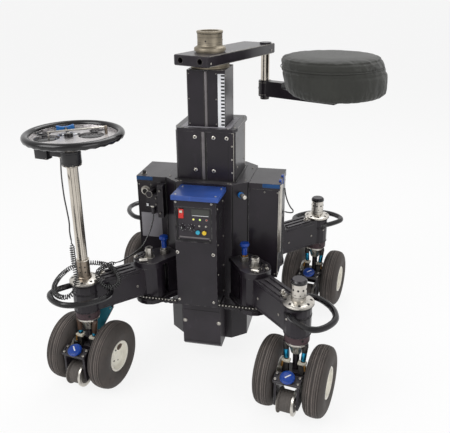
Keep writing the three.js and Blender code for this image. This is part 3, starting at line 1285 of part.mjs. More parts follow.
const curlPath = () => {
  const curve = smooth(CURLY_ROUTE);
  const rows = CURLS * CURL_STEPS;
  const { normals, binormals } = curve.computeFrenetFrames(rows, false);
  const windRadius = CURL_OUTER_RADIUS - CORD_RADIUS;
  const rise = 2 * CURL_STEPS;
  const wound = Array.from({ length: rows + 1 }, (_, row) => {
    const share = CURL_END_SHARE + (row / rows) * (1 - 2 * CURL_END_SHARE);
    const open = Math.min(1, row / rise, (rows - row) / rise);
    const turn = (row / CURL_STEPS) * 2 * Math.PI;
    return curve.getPointAt(share)
      .addScaledVector(normals[row], open * windRadius * Math.cos(turn))
      .addScaledVector(binormals[row], open * windRadius * Math.sin(turn));
  });
  return [curve.getPointAt(0), ...wound, curve.getPointAt(1)];
};

const tubeThrough = (points, radius, sides) => {
  const last = points.length - 1;
  const positions = [];
  const faces = [];
  const first = points[1].clone().sub(points[0]).normalize();
  const normal = new THREE.Vector3(0, 0, 1).cross(first);
  if (normal.length() < 1 / 2) normal.set(1, 0, 0).cross(first);
  normal.normalize();
  points.forEach((point, row) => {
    const before = points[Math.max(row - 1, 0)];
    const after = points[Math.min(row + 1, last)];
    const tangent = after.clone().sub(before).normalize();
    normal.addScaledVector(tangent, -normal.dot(tangent)).normalize();
    const side = tangent.clone().cross(normal);
    for (let index = 0; index < sides; index += 1) {
      const angle = (index / sides) * 2 * Math.PI;
      const corner = point.clone()
        .addScaledVector(normal, radius * Math.cos(angle))
        .addScaledVector(side, radius * Math.sin(angle));
      positions.push(...corner.toArray());
      if (row < last) {
        const here = row * sides + index;
        const next = row * sides + ((index + 1) % sides);
        faces.push(here, next, next + sides, here, next + sides, here + sides);
      }
    }
  });
  for (let index = 1; index < sides - 1; index += 1) {
    faces.push(0, index + 1, index);
    faces.push(last * sides, last * sides + index, last * sides + index + 1);
  }
  const geometry = new THREE.BufferGeometry();
  geometry.setAttribute('position', new THREE.Float32BufferAttribute(positions, 3));
  geometry.setIndex(faces);
  return geometry;
};

const leastSelfGap = (points, radius, apart) => {
  let least = Infinity;
  points.forEach((point, index) => {
    for (let other = index + apart; other < points.length; other += 1) {
      least = Math.min(least, point.distanceTo(points[other]) - 2 * radius);
    }
  });
  return least;
};

const curlPoints = curlPath();
console.log(
  'curly cord, least gap to itself, mm:',
  leastSelfGap(curlPoints, CORD_RADIUS, CURL_STEPS - 2).toFixed(2),
);
add(dolly, 'cord_lead_upper', leadGeometry(LEAD_UPPER_ROUTE), FINISH.plastic);
add(dolly, 'curly_cord', tubeThrough(curlPoints, CORD_RADIUS, CURL_SIDES), FINISH.plastic);
add(dolly, 'cord_lead_lower', leadGeometry(LEAD_LOWER_ROUTE), FINISH.plastic);

export default dolly;
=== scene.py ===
"""Camera dolly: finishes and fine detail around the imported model, laid out as an add-on."""
import json
import math
from itertools import product

import bmesh
import bpy
from mathutils import Matrix, Vector
from mathutils.bvhtree import BVHTree


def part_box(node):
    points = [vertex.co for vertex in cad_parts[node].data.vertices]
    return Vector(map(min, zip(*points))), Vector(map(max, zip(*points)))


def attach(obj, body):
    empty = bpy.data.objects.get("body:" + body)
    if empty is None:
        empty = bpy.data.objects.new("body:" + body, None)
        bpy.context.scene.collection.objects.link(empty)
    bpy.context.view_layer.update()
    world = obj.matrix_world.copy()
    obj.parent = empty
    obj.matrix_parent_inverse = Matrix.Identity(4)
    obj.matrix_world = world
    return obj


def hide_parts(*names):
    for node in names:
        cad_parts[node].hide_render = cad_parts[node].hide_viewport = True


bl_info = {
    "name": "Camera dolly",
    "version": (1, 0, 0),
    "blender": (4, 5, 0),
    "location": "3D View > Sidebar > Dolly",
    "description": "Builds the visible pieces of a camera dolly around its packed model",
    "category": "Object",
}

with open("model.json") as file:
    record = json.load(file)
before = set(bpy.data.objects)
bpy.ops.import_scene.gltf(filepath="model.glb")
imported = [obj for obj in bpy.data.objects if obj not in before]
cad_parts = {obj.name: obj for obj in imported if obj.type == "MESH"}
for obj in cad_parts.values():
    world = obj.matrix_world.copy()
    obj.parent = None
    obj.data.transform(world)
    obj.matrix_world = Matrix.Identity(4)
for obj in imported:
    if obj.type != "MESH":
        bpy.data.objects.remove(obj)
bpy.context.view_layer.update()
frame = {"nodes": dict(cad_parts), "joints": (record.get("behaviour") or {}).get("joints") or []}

# Shapes are worked in millimetres about the column's axis, then set into the frame in metres
MM = 0.001
COLUMN = sum(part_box("camera_adapter"), Vector()) / 2
TO_FRAME = Matrix.Translation((COLUMN.x, COLUMN.y, 0)) @ Matrix.Scale(MM, 4)
TO_MM = TO_FRAME.inverted()
JOINTS = {joint["name"]: joint for joint in frame["joints"]}
CORNERS = {"front_left": (-1, -1), "front_right": (1, -1),
           "back_left": (-1, 1), "back_right": (1, 1)}
WHOLE_TURN = 2 * math.pi
AXLE_LEVEL = 127.5
TRACK_AXLE = (0, -88, 80)
TYRE_OFFSET = 89.5
TREAD_RADIUS, TREAD_HALF, TREAD_FALL, TREAD_CURVE = 127.3, 24.5, 4.6, 2.3
GROOVE_HALF = 1.1
FRONT, BACK, UP, DOWN = (0, -1, 0), (0, 1, 0), (0, 0, 1), (0, 0, -1)
SEAT_POST = Vector((159.55, 261.94, 0))
BEAM_TURN = math.radians(68.7)
BEAM_BOTTOM, BEAM_TOP = 1150.6, 1187.6
# The camera that was fitted to the photograph, in millimetres and radians
CAMERA_PLACE = Vector((540.2, -2167.7, 1469.8))
CAMERA_PITCH, CAMERA_YAW = math.radians(22.45), math.radians(12.77)
CAMERA_ROLL = -0.0099


def joint_place(name):
    """A joint's point in millimetres about the column's axis."""
    return TO_MM @ Vector(JOINTS[name]["pos_m"])


def node_box(name):
    """A node's lowest and highest corners in millimetres about the column's axis."""
    low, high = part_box(name)
    return TO_MM @ low, TO_MM @ high


class Signal:
    """A shader socket that takes part in sums."""

    def __init__(self, finish, socket):
        self.finish, self.socket = finish, socket

    def maths(self, operation, *values):
        return self.finish.node("ShaderNodeMath", {"operation": operation}, *values)

    def __add__(self, other):
        return self.maths("ADD", self, other)

    def __sub__(self, other):
        return self.maths("SUBTRACT", self, other)

    def __rsub__(self, other):
        return self.maths("SUBTRACT", other, self)

    def __mul__(self, other):
        return self.maths("MULTIPLY", self, other)

    def above(self, low, high):
        """0 below low, 1 above high and a smooth step between them."""
        return self.finish.node(
            "ShaderNodeMapRange", {"interpolation_type": "SMOOTHSTEP"}, self, low, high)

    __radd__ = __add__
    __rmul__ = __mul__


class Finish:
    """One procedural material, read on Object coordinates in metres."""

    def __init__(self, name, color, roughness=0.5, metallic=0.0, **uniform):
        self.material = bpy.data.materials.new(name)
        self.material.use_nodes = True
        self.tree = self.material.node_tree
        self.shader = self.tree.nodes["Principled BSDF"]
        self.color = (*color, 1.0)
        self.put("Base Color", self.color)
        self.put("Roughness", roughness)
        self.put("Metallic", metallic)
        for socket, value in uniform.items():
            self.put(socket.replace("_", " "), value)
        self.place = self.node("ShaderNodeTexCoord", {}, output="Object")

    def put(self, socket, value):
        target = self.shader.inputs[socket]
        if isinstance(value, Signal):
            self.tree.links.new(value.socket, target)
        else:
            target.default_value = value

    def node(self, kind, settings, *values, output=None, **named):
        made = self.tree.nodes.new(kind)
        for key, value in settings.items():
            setattr(made, key, value)
        inputs = list(zip(made.inputs, values))
        inputs += [(made.inputs[key], value) for key, value in named.items()]
        for target, value in inputs:
            if isinstance(value, Signal):
                self.tree.links.new(value.socket, target)
            elif value is not None:
                target.default_value = value
        return Signal(self, made.outputs[output] if output else made.outputs[0])

    def stretched(self, x=1.0, y=1.0, z=1.0):
        """Object coordinates scaled on each axis."""
        return self.node("ShaderNodeMapping", {}, Vector=self.place, Scale=(x, y, z))

    def noise(self, scale, detail=3.0, place=None):
        return self.node("ShaderNodeTexNoise", {}, Vector=place or self.place,
                         Scale=scale, Detail=detail)

    def waves(self, scale, direction):
        return self.node("ShaderNodeTexWave", {"bands_direction": direction},
                         Vector=self.place, Scale=scale)

    def edges(self, width):
        """1 on the edges of the shape and 0 on its flats."""
        rounded = self.node("ShaderNodeBevel", {"samples": 6}, width)
        flat = self.node("ShaderNodeNewGeometry", {}, output="Normal")
        match = self.node("ShaderNodeVectorMath", {"operation": "DOT_PRODUCT"},
                          rounded, flat, output="Value")
        return (1 - match).above(0.02, 0.2)

    def upward(self):
        """1 on faces that look up, where dust settles and a painted sheen is laid on the tops."""
        normal = self.node("ShaderNodeNewGeometry", {}, output="Normal")
        return self.node("ShaderNodeSeparateXYZ", {}, normal, output="Z").above(0.6, 0.95)

    def blend(self, factor, first, second):
        mixed = self.tree.nodes.new("ShaderNodeMix")
        mixed.data_type = "RGBA"
        for target, value in zip((mixed.inputs[0], mixed.inputs[6], mixed.inputs[7]),
                                 (factor, first, second)):
            if isinstance(value, Signal):
                self.tree.links.new(value.socket, target)
            else:
                target.default_value = value if target.name == "Factor" else (*value[:3], 1.0)
        return Signal(self, mixed.outputs[2])

    def bump(self, height, distance, strength=1.0):
        self.put("Normal", self.node("ShaderNodeBump", {}, Strength=strength,
                                     Distance=distance, Height=height))


def shade(color, factor):
    """A colour made darker or lighter."""
    return tuple(min(1.0, channel * factor) for channel in color[:3])


def painted(name, color, roughness=0.34, worn=0.5, grain=0.00004, dust=0.0):
    """Paint or anodising on a casting: fine grain, scuffs, rubbed edges, and tops made lighter by
    dust and a painted sheen.
    """
    made = Finish(name, color, roughness, 0.0, IOR=1.36, Coat_Weight=0.12, Coat_Roughness=0.12)
    cloud = made.noise(9.0, 4.0)
    # Faces that look up turn lighter grey: partly settled dust, partly a painted sheen for the
    # light the tops catch; dust scales both
    dust_and_top_sheen = made.upward() * cloud.above(0.2, 0.7) * dust
    scuffs = made.noise(60.0, 6.0, made.stretched(1.0, 1.6, 0.35)).above(0.62, 0.72)
    rubbed = made.edges(0.0022) * made.noise(45.0, 5.0).above(0.42, 0.6) * worn
    base = made.blend(cloud.above(0.35, 0.7), shade(color, 0.85), shade(color, 1.2))
    scuffed_dust_and_sheen = made.blend(scuffs * 0.25, base, shade(color, 2.6))
    # Painted sheen and dust: the tops blend towards this light grey
    scuffed_dust_and_sheen = made.blend(dust_and_top_sheen, scuffed_dust_and_sheen, (0.075, 0.07, 0.076))
    made.put("Base Color", made.blend(rubbed, scuffed_dust_and_sheen, (0.42, 0.41, 0.4)))
    made.put("Roughness", roughness + scuffs * 0.12 + (cloud - 0.5) * 0.1)
    made.put("Metallic", rubbed * 0.8)
    made.bump(made.noise(1400.0, 2.0), grain, 0.35)
    return made.material


def bright_metal(name, color, roughness=0.26, tarnish=0.35):
    """Machined or plated metal with tool marks and dull patches."""
    made = Finish(name, color, roughness, 1.0)
    marks = made.noise(160.0, 4.0, made.stretched(1.0, 1.0, 9.0))
    patches = made.noise(38.0, 5.0).above(0.5, 0.75)
    made.put("Base Color", made.blend(patches * tarnish, color, shade(color, 0.45)))
    made.put("Roughness", roughness + marks * 0.14 + patches * 0.16)
    made.bump(marks, 0.00003, 0.3)
    return made.material


def satin(color):
    """Ground and polished tube with faint lengthwise lines and dull clouds."""
    made = Finish("chrome", color, 0.16, 1.0)
    clouds = made.noise(9.0, 4.0).above(0.4, 0.75)
    lines = made.noise(240.0, 2.0, made.stretched(1.0, 1.0, 0.02))
    made.put("Base Color", made.blend(clouds * 0.4, color, shade(color, 0.62)))
    made.put("Roughness", 0.14 + clouds * 0.1 + lines * 0.05)
    made.bump(lines, 0.00001, 0.15)
    return made.material


def moulded(name, color, roughness=0.38, grain=0.00005, index=1.5):
    """Moulded plastic or rubber with a fine skin."""
    made = Finish(name, color, roughness, IOR=index)
    cloud = made.noise(30.0, 3.0)
    made.put("Base Color", made.blend(cloud, shade(color, 0.88), shade(color, 1.12)))
    made.put("Roughness", roughness + (cloud - 0.5) * 0.16)
    made.bump(made.noise(1800.0, 2.0), grain, 0.3)
    return made.material


def tyre_rubber(name, color):
    """Dusty rubber with darker streaks."""
    made = Finish(name, color, 0.78)
    dust = made.noise(22.0, 6.0).above(0.38, 0.72)
    streaks = made.noise(120.0, 4.0, made.stretched(3.0, 0.5, 0.5)).above(0.45, 0.7)
    base = made.blend(dust * 0.6, color, shade(color, 1.9))
    made.put("Base Color", made.blend(streaks * 0.35, base, shade(color, 0.6)))
    made.put("Roughness", 0.68 + dust * 0.2)
    made.bump(made.noise(700.0, 4.0), 0.0002, 0.5)
    return made.material


def woven(name, color):
    """Fine stretch fabric: crossed threads over a soft fuzz."""
    made = Finish(name, color, 0.93, 0.0, Sheen_Weight=0.25, Sheen_Roughness=0.5)
    warp, weft, rise = (made.waves(520.0, direction) for direction in "XYZ")
    thread = warp * 0.4 + weft * 0.3 + rise * 0.3
    fuzz = made.noise(14.0, 5.0)
    lint = made.noise(420.0, 2.0).above(0.7, 0.78)
    base = made.blend(fuzz.above(0.35, 0.7), shade(color, 0.75), shade(color, 1.3))
    threaded = made.blend(thread * 0.5, shade(color, 0.6), base)
    made.put("Base Color", made.blend(lint * 0.3, threaded, shade(color, 4.0)))
    made.bump(thread + made.noise(900.0, 2.0) * 0.6, 0.00025, 0.7)
    return made.material


def glowing(name, color, strength):
    """A lamp or display that gives a little light of its own."""
    made = Finish(name, color, 0.3)
    made.put("Emission Color", (*color, 1.0))
    made.put("Emission Strength", strength)
    return made.material


def heading(turn):
    """The level direction at an angle."""
    return Vector((math.cos(turn), math.sin(turn), 0))


def turns(count, start=0.0):
    """Even angles round a circle."""
    return [WHOLE_TURN * step / count + start for step in range(count)]


def peg(direction, level, inner, outer, radius, sides=24):
    """A short round bar that stands out from an upright cylinder."""
    rise = Vector((0, 0, level))
    return bar(direction * inner + rise, direction * outer + rise, radius, 0, sides)


def linked(name, data):
    """A new object in the scene."""
    made = bpy.data.objects.new(name, data)
    bpy.context.scene.collection.objects.link(made)
    return made


def evenly(start, step, count):
    """Even steps from a start."""
    return [start + step * row for row in range(count)]


def grid(*sides):
    """Every point whose x, y and z come from three sides, each one number or several."""
    return list(product(*(side if hasattr(side, "__len__") else (side,) for side in sides)))


# Shapes: each returns a bmesh in millimetres
def soften(shape, width, steps=2, angle=0.5):
    """Rounds the sharp edges of a shape."""
    if width:
        sharp = [edge for edge in shape.edges
                 if len(edge.link_faces) == 2 and edge.calc_face_angle() > angle]
        bmesh.ops.bevel(shape, geom=sharp, offset=width, segments=steps, profile=0.5,
                        affect="EDGES", material=-1, clamp_overlap=True)
    return shape


def block(low, high, edge=1.0, steps=2):
    """A box between two corners."""
    shape = bmesh.new()
    bmesh.ops.create_cube(shape, size=1.0)
    low, high = Vector(low), Vector(high)
    size = high - low
    bmesh.ops.scale(shape, vec=size, verts=shape.verts)
    bmesh.ops.translate(shape, vec=(low + high) / 2, verts=shape.verts)
    return soften(shape, min(edge, min(size) / 3), steps)


def drum(radius, bottom, top, edge=0.8, sides=48, upper=None, at=(0, 0)):
    """A cylinder or cone on Z."""
    shape = bmesh.new()
    upper = radius if upper is None else upper
    bmesh.ops.create_cone(shape, cap_ends=True, segments=sides, radius1=radius,
                          radius2=upper, depth=top - bottom)
    bmesh.ops.translate(shape, vec=(*at, (bottom + top) / 2), verts=shape.verts)
    return soften(shape, min(edge, (top - bottom) / 3), 2, 0.6)


def turned(profile, sides=56, ring=False):
    """A profile of radius and height spun about Z; a ring's profile closes on itself."""
    shape = bmesh.new()
    verts = [shape.verts.new((radius, 0, height)) for radius, height in profile]
    pairs = zip(verts, verts[1:] + (verts[:1] if ring else []))
    edges = [shape.edges.new(pair) for pair in pairs]
    bmesh.ops.spin(shape, geom=verts + edges, cent=(0, 0, 0), axis=(0, 0, 1),
                   angle=WHOLE_TURN, steps=sides, use_merge=True)
    bmesh.ops.remove_doubles(shape, verts=shape.verts, dist=0.001)
    return shape


def torus(radius, thick, sides=72, around=16, height=0.0):
    """A ring of round section on Z."""
    profile = [(radius + thick * math.cos(turn), height + thick * math.sin(turn))
               for turn in turns(around)]
    return turned(profile, sides, ring=True)


def slab(outline, bottom, top, edge=1.0, steps=2):
    """A flat outline raised from bottom to top."""
    shape = bmesh.new()
    face = shape.faces.new([shape.verts.new((x, y, bottom)) for x, y in outline])
    raised = bmesh.ops.extrude_face_region(shape, geom=[face])["geom"]
    verts = [item for item in raised if isinstance(item, bmesh.types.BMVert)]
    bmesh.ops.translate(shape, vec=(0, 0, top - bottom), verts=verts)
    bmesh.ops.recalc_face_normals(shape, faces=shape.faces)
    return soften(shape, edge, steps, 0.3)


def tube(points, radius, sides=12, closed=False, smooth=True):
    """A round bar or wire that follows points."""
    curve = bpy.data.curves.new("route", "CURVE")
    curve.dimensions = "3D"
    curve.bevel_depth = radius
    curve.bevel_resolution = max(1, sides // 4 - 1)
    curve.use_fill_caps = not closed
    line = curve.splines.new("NURBS" if smooth else "POLY")
    line.points.add(len(points) - 1)
    for point, place in zip(line.points, points):
        point.co = (*place, 1.0)
    line.use_cyclic_u = closed
    line.use_endpoint_u = not closed
    line.order_u = 3
    line.resolution_u = 5
    holder = bpy.data.objects.new("route", curve)
    mesh = bpy.data.meshes.new_from_object(holder)
    shape = bmesh.new()
    shape.from_mesh(mesh)
    bpy.data.objects.remove(holder)
    bpy.data.curves.remove(curve)
    bpy.data.meshes.remove(mesh)
    bmesh.ops.remove_doubles(shape, verts=shape.verts, dist=0.001)
    return shape


def facing(point, direction, spin=0.0):
    """Carries local Z to a direction at a point."""
    turn = Vector((0, 0, 1)).rotation_difference(Vector(direction)).to_matrix().to_4x4()
    return Matrix.Translation(point) @ turn @ Matrix.Rotation(spin, 4, "Z")


def moved(shape, matrix):
    bmesh.ops.transform(shape, matrix=matrix, verts=shape.verts)
    return shape


def bar(start, end, radius, edge=0.6, sides=32, upper=None):
    """A round bar between two points."""
    start, end = Vector(start), Vector(end)
    shape = drum(radius, 0, (end - start).length, edge, sides, upper)
    return moved(shape, facing(start, end - start))


def carved(shape, *tools):
    """A shape with other shapes cut out of it."""
    holders = []
    for part in (shape, *tools):
        bmesh.ops.recalc_face_normals(part, faces=part.faces)
        mesh = bpy.data.meshes.new("blank")
        part.to_mesh(mesh)
        part.free()
        holders.append(bpy.data.objects.new("blank", mesh))
        bpy.context.collection.objects.link(holders[-1])
    blank = holders[0]
    for tool in holders[1:]:
        cutter = blank.modifiers.new("cut", "BOOLEAN")
        cutter.operation = "DIFFERENCE"
        cutter.solver = "EXACT"
        cutter.object = tool
    bpy.context.view_layer.update()
    graph = bpy.context.evaluated_depsgraph_get()
    mesh = bpy.data.meshes.new_from_object(blank.evaluated_get(graph))
    made = bmesh.new()
    made.from_mesh(mesh)
    bpy.data.meshes.remove(mesh)
    for holder in holders:
        data = holder.data
        bpy.data.objects.remove(holder)
        bpy.data.meshes.remove(data)
    return made


def band(inner, outer, low, high, sides):
    """A plain ring with a square section."""
    return turned([(inner, low), (outer, low), (outer, high), (inner, high)], sides, ring=True)


def screw(radius, height=2.2, sides=18):
    """A button head with its hexagon socket, standing on Z = 0."""
    socket = radius * 0.45
    return turned([(0, height * 0.45), (socket, height * 0.45), (socket, height),
                   (radius * 0.7, height * 0.96), (radius * 0.93, height * 0.55),
                   (radius, 0), (0, 0)], sides)


class Piece:
    """One visible piece in the making: it collects shapes and their finishes."""

    def __init__(self, name, body, place=None):
        self.name, self.body = name, body
        self.place = place or Matrix.Identity(4)
        self.mesh = bmesh.new()
        self.finishes = []

    def add(self, shape, finish, at=None):
        if finish not in self.finishes:
            self.finishes.append(finish)
        index = self.finishes.index(finish)
        moved(shape, self.place @ (at or Matrix.Identity(4)))
        bmesh.ops.recalc_face_normals(shape, faces=shape.faces)
        for face in shape.faces:
            face.material_index = index
        held = bpy.data.meshes.new("held")
        shape.to_mesh(held)
        shape.free()
        self.mesh.from_mesh(held)
        bpy.data.meshes.remove(held)
        return self

    def screws(self, points, direction, radius, finish="nickel", height=2.2):
        for step, point in enumerate(points):
            place = facing(point, direction, step * 1.3)
            self.add(screw(radius, height), finish, place)
            self.add(drum(radius * 0.44, 0, height * 0.5, 0, 6), "shadow_black", place)
        return self

    def round_screws(self, angles, far, level, radius, finish, height):
        """Screws that stand out all round an upright cylinder."""
        for direction in map(heading, angles):
            self.screws([direction * far + Vector((0, 0, level))], direction, radius, finish,
                        height)

    def done(self, slot, *nodes, angle=0.6):
        mesh = bpy.data.meshes.new(self.name)
        moved(self.mesh, TO_FRAME)
        self.mesh.to_mesh(mesh)
        self.mesh.free()
        for face in mesh.polygons:
            face.use_smooth = True
        mesh.set_sharp_from_angle(angle=angle)
        made = linked(self.name, mesh)
        for finish in self.finishes:
            mesh.materials.append(FINISHES[finish])
        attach(made, self.body)
        if nodes:
            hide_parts(*nodes)
        return made


FINISHES = {}


def color_prop(name, description, color):
    return bpy.props.FloatVectorProperty(
        name=name, description=description, default=color, size=3, subtype="COLOR",
        min=0.0, max=1.0)


def length_prop(name, description, millimetres):
    return bpy.props.FloatProperty(
        name=name, description=description, default=millimetres * MM, subtype="DISTANCE",
        unit="LENGTH", min=0.0)


class DollyColours(bpy.types.PropertyGroup):
    """Colours of the dolly's finishes."""
    casting: color_prop("Castings", "Black paint on the column and legs", (0.015, 0.0115, 0.016))
    pale: color_prop("Pale casting", "Paint on the lower cover", (0.03, 0.025, 0.031))
    lid: color_prop("Lid", "Blue lid of the control box", (0.032, 0.085, 0.34))
    blue: color_prop("Blue knobs", "Pull knobs and track wheel knobs", (0.003, 0.045, 0.3))
    stripe: color_prop("Blue strips", "Edge strips on the boxes", (0.004, 0.05, 0.16))
    teal: color_prop("Teal parts", "Links behind the drums", (0.04, 0.25, 0.34))
    damper: color_prop("Dampers", "Bright damper bodies", (0.03, 0.33, 0.56))
    maroon: color_prop("Drum", "Drum below each leg's end", (0.05, 0.028, 0.033))
    bronze: color_prop("Adapter", "Camera adapter", (0.28, 0.245, 0.19))
    nickel: color_prop("Nickel", "Pins, flanges and screws", (0.62, 0.59, 0.54))
    chrome: color_prop("Chrome", "Steering rod", (0.6, 0.55, 0.48))
    cream: color_prop("Rims", "Wheel rims", (0.78, 0.75, 0.66))
    tyre: color_prop("Tyres", "Tyre rubber", (0.05, 0.042, 0.038))
    fabric: color_prop("Seat", "Seat cover", (0.038, 0.039, 0.033))
    plastic: color_prop("Black plastic", "Wheel rim, hub, caps", (0.01, 0.009, 0.0105))


class DollySizes(bpy.types.PropertyGroup):
    """Sizes of the dolly's fine detail."""
    screw: length_prop("Plate screw", "Radius of the screws on the plates", 5.0)
    groove: length_prop("Tread groove", "Depth of the grooves in the tread", 1.8)
    tread: bpy.props.IntProperty(
        name="Tread grooves", description="Grooves round each tyre", default=8, min=0, max=9)
    cord: length_prop("Cord", "Thickness of the steering cord's curls", 4.0)
    lead: length_prop("Leads", "Thickness of the steering cord's plain ends", 5.0)
    curl: length_prop("Curl", "Outer radius of the curls", 9.4)
    curls: bpy.props.IntProperty(
        name="Curls", description="Turns in the curly length", default=112, min=4, max=220)
    swell: length_prop("Seat swell", "How far the seat cover may puff out", 5.0)
    lens: length_prop("Lens", "Focal length of the camera", 48.4)


def colours():
    return bpy.context.scene.dolly_colours


def sizes():
    return bpy.context.scene.dolly_sizes


class Maker(bpy.types.Operator):
    """Runs one maker of pieces."""
    bl_options = {"REGISTER", "UNDO"}

    def execute(self, context):
        self.make(sizes())
        return {"FINISHED"}


class DOLLY_OT_finishes(Maker):
    """Makes every material of the dolly from its colours"""
    bl_idname = "dolly.finishes"
    bl_label = "Finishes"

    def make(self, size):
        hue = colours()
        metal = tuple(hue.nickel)
        FINISHES.update({
            # The castings' tops get dust and a painted sheen
            "casting": painted("casting", tuple(hue.casting), dust=0.8),
            "pale_casting": painted("pale_casting", tuple(hue.pale), 0.5, 0.3),
            "lid_blue": painted("lid_blue", tuple(hue.lid), 0.36, 0.35),
            "stripe_blue": painted("stripe_blue", tuple(hue.stripe), 0.35, 0.3),
            "teal": painted("teal", tuple(hue.teal), 0.32, 0.25),
            "maroon": painted("maroon", tuple(hue.maroon), 0.5, 0.3),
            "bronze": bright_metal("bronze", tuple(hue.bronze), 0.42, 0.25),
            "nickel": bright_metal("nickel", metal, 0.24, 0.3),
            "dull_nickel": bright_metal("dull_nickel", shade(metal, 0.6), 0.38, 0.5),
            "dark_steel": bright_metal("dark_steel", (0.07, 0.066, 0.064), 0.42, 0.5),
            "chrome": satin(tuple(hue.chrome)),
            "brass": bright_metal("brass", (0.5, 0.26, 0.08), 0.35, 0.5),
            "bronze_pin": bright_metal("bronze_pin", (0.3, 0.25, 0.2), 0.28, 0.6),
            "damper_blue": bright_metal("damper_blue", tuple(hue.damper), 0.24, 0.4),
            "plate_grey": bright_metal("plate_grey", (0.62, 0.6, 0.6), 0.34, 0.15),
            "rust_brown": painted("rust_brown", (0.075, 0.045, 0.03), 0.5, 0.4),
            "roller_grey": tyre_rubber("roller_grey", (0.085, 0.075, 0.068)),
            "rim_cream": painted("rim_cream", tuple(hue.cream), 0.34, 0.2),
            "tyre": tyre_rubber("tyre", tuple(hue.tyre)),
            "rack_grey": bright_metal("rack_grey", (0.2, 0.185, 0.19), 0.36, 0.3),
            "tread_dust": tyre_rubber("tread_dust", shade(hue.tyre, 2.6)),
            "lever_blue": moulded("lever_blue", (0.008, 0.13, 0.4), 0.3),
            "fabric": woven("fabric", tuple(hue.fabric)),
            "plastic": moulded("plastic", tuple(hue.plastic), 0.36),
            "gloss_black": moulded("gloss_black", shade(hue.plastic, 0.8), 0.2, 0.00002),
            "cord_rubber": moulded("cord_rubber", (0.006, 0.0055, 0.006), 0.2, 0.00001, 1.7),
            "blue_plastic": moulded("blue_plastic", tuple(hue.blue), 0.3),
            "red_plastic": moulded("red_plastic", (0.62, 0.02, 0.015), 0.25),
            "cyan_plastic": moulded("cyan_plastic", (0.03, 0.38, 0.55), 0.25),
            "yellow_plastic": moulded("yellow_plastic", (0.75, 0.5, 0.02), 0.25),
            "ivory": moulded("ivory", (0.62, 0.58, 0.48), 0.4),
            "rubber_cap": moulded("rubber_cap", (0.014, 0.013, 0.014), 0.4),
            "shadow_black": moulded("shadow_black", (0.006, 0.006, 0.006), 0.8),
            "label_grey": moulded("label_grey", (0.24, 0.23, 0.25), 0.45),
            "white_scale": moulded("white_scale", (0.75, 0.76, 0.78), 0.4),
            "display_glass": glowing("display_glass", (0.03, 0.032, 0.028), 0.2),
            "lamp_yellow": glowing("lamp_yellow", (0.85, 0.8, 0.1), 0.7),
            "lamp_green": glowing("lamp_green", (0.5, 0.85, 0.1), 0.7),
            "lamp_red": glowing("lamp_red", (0.35, 0.03, 0.02), 0.1),
        })


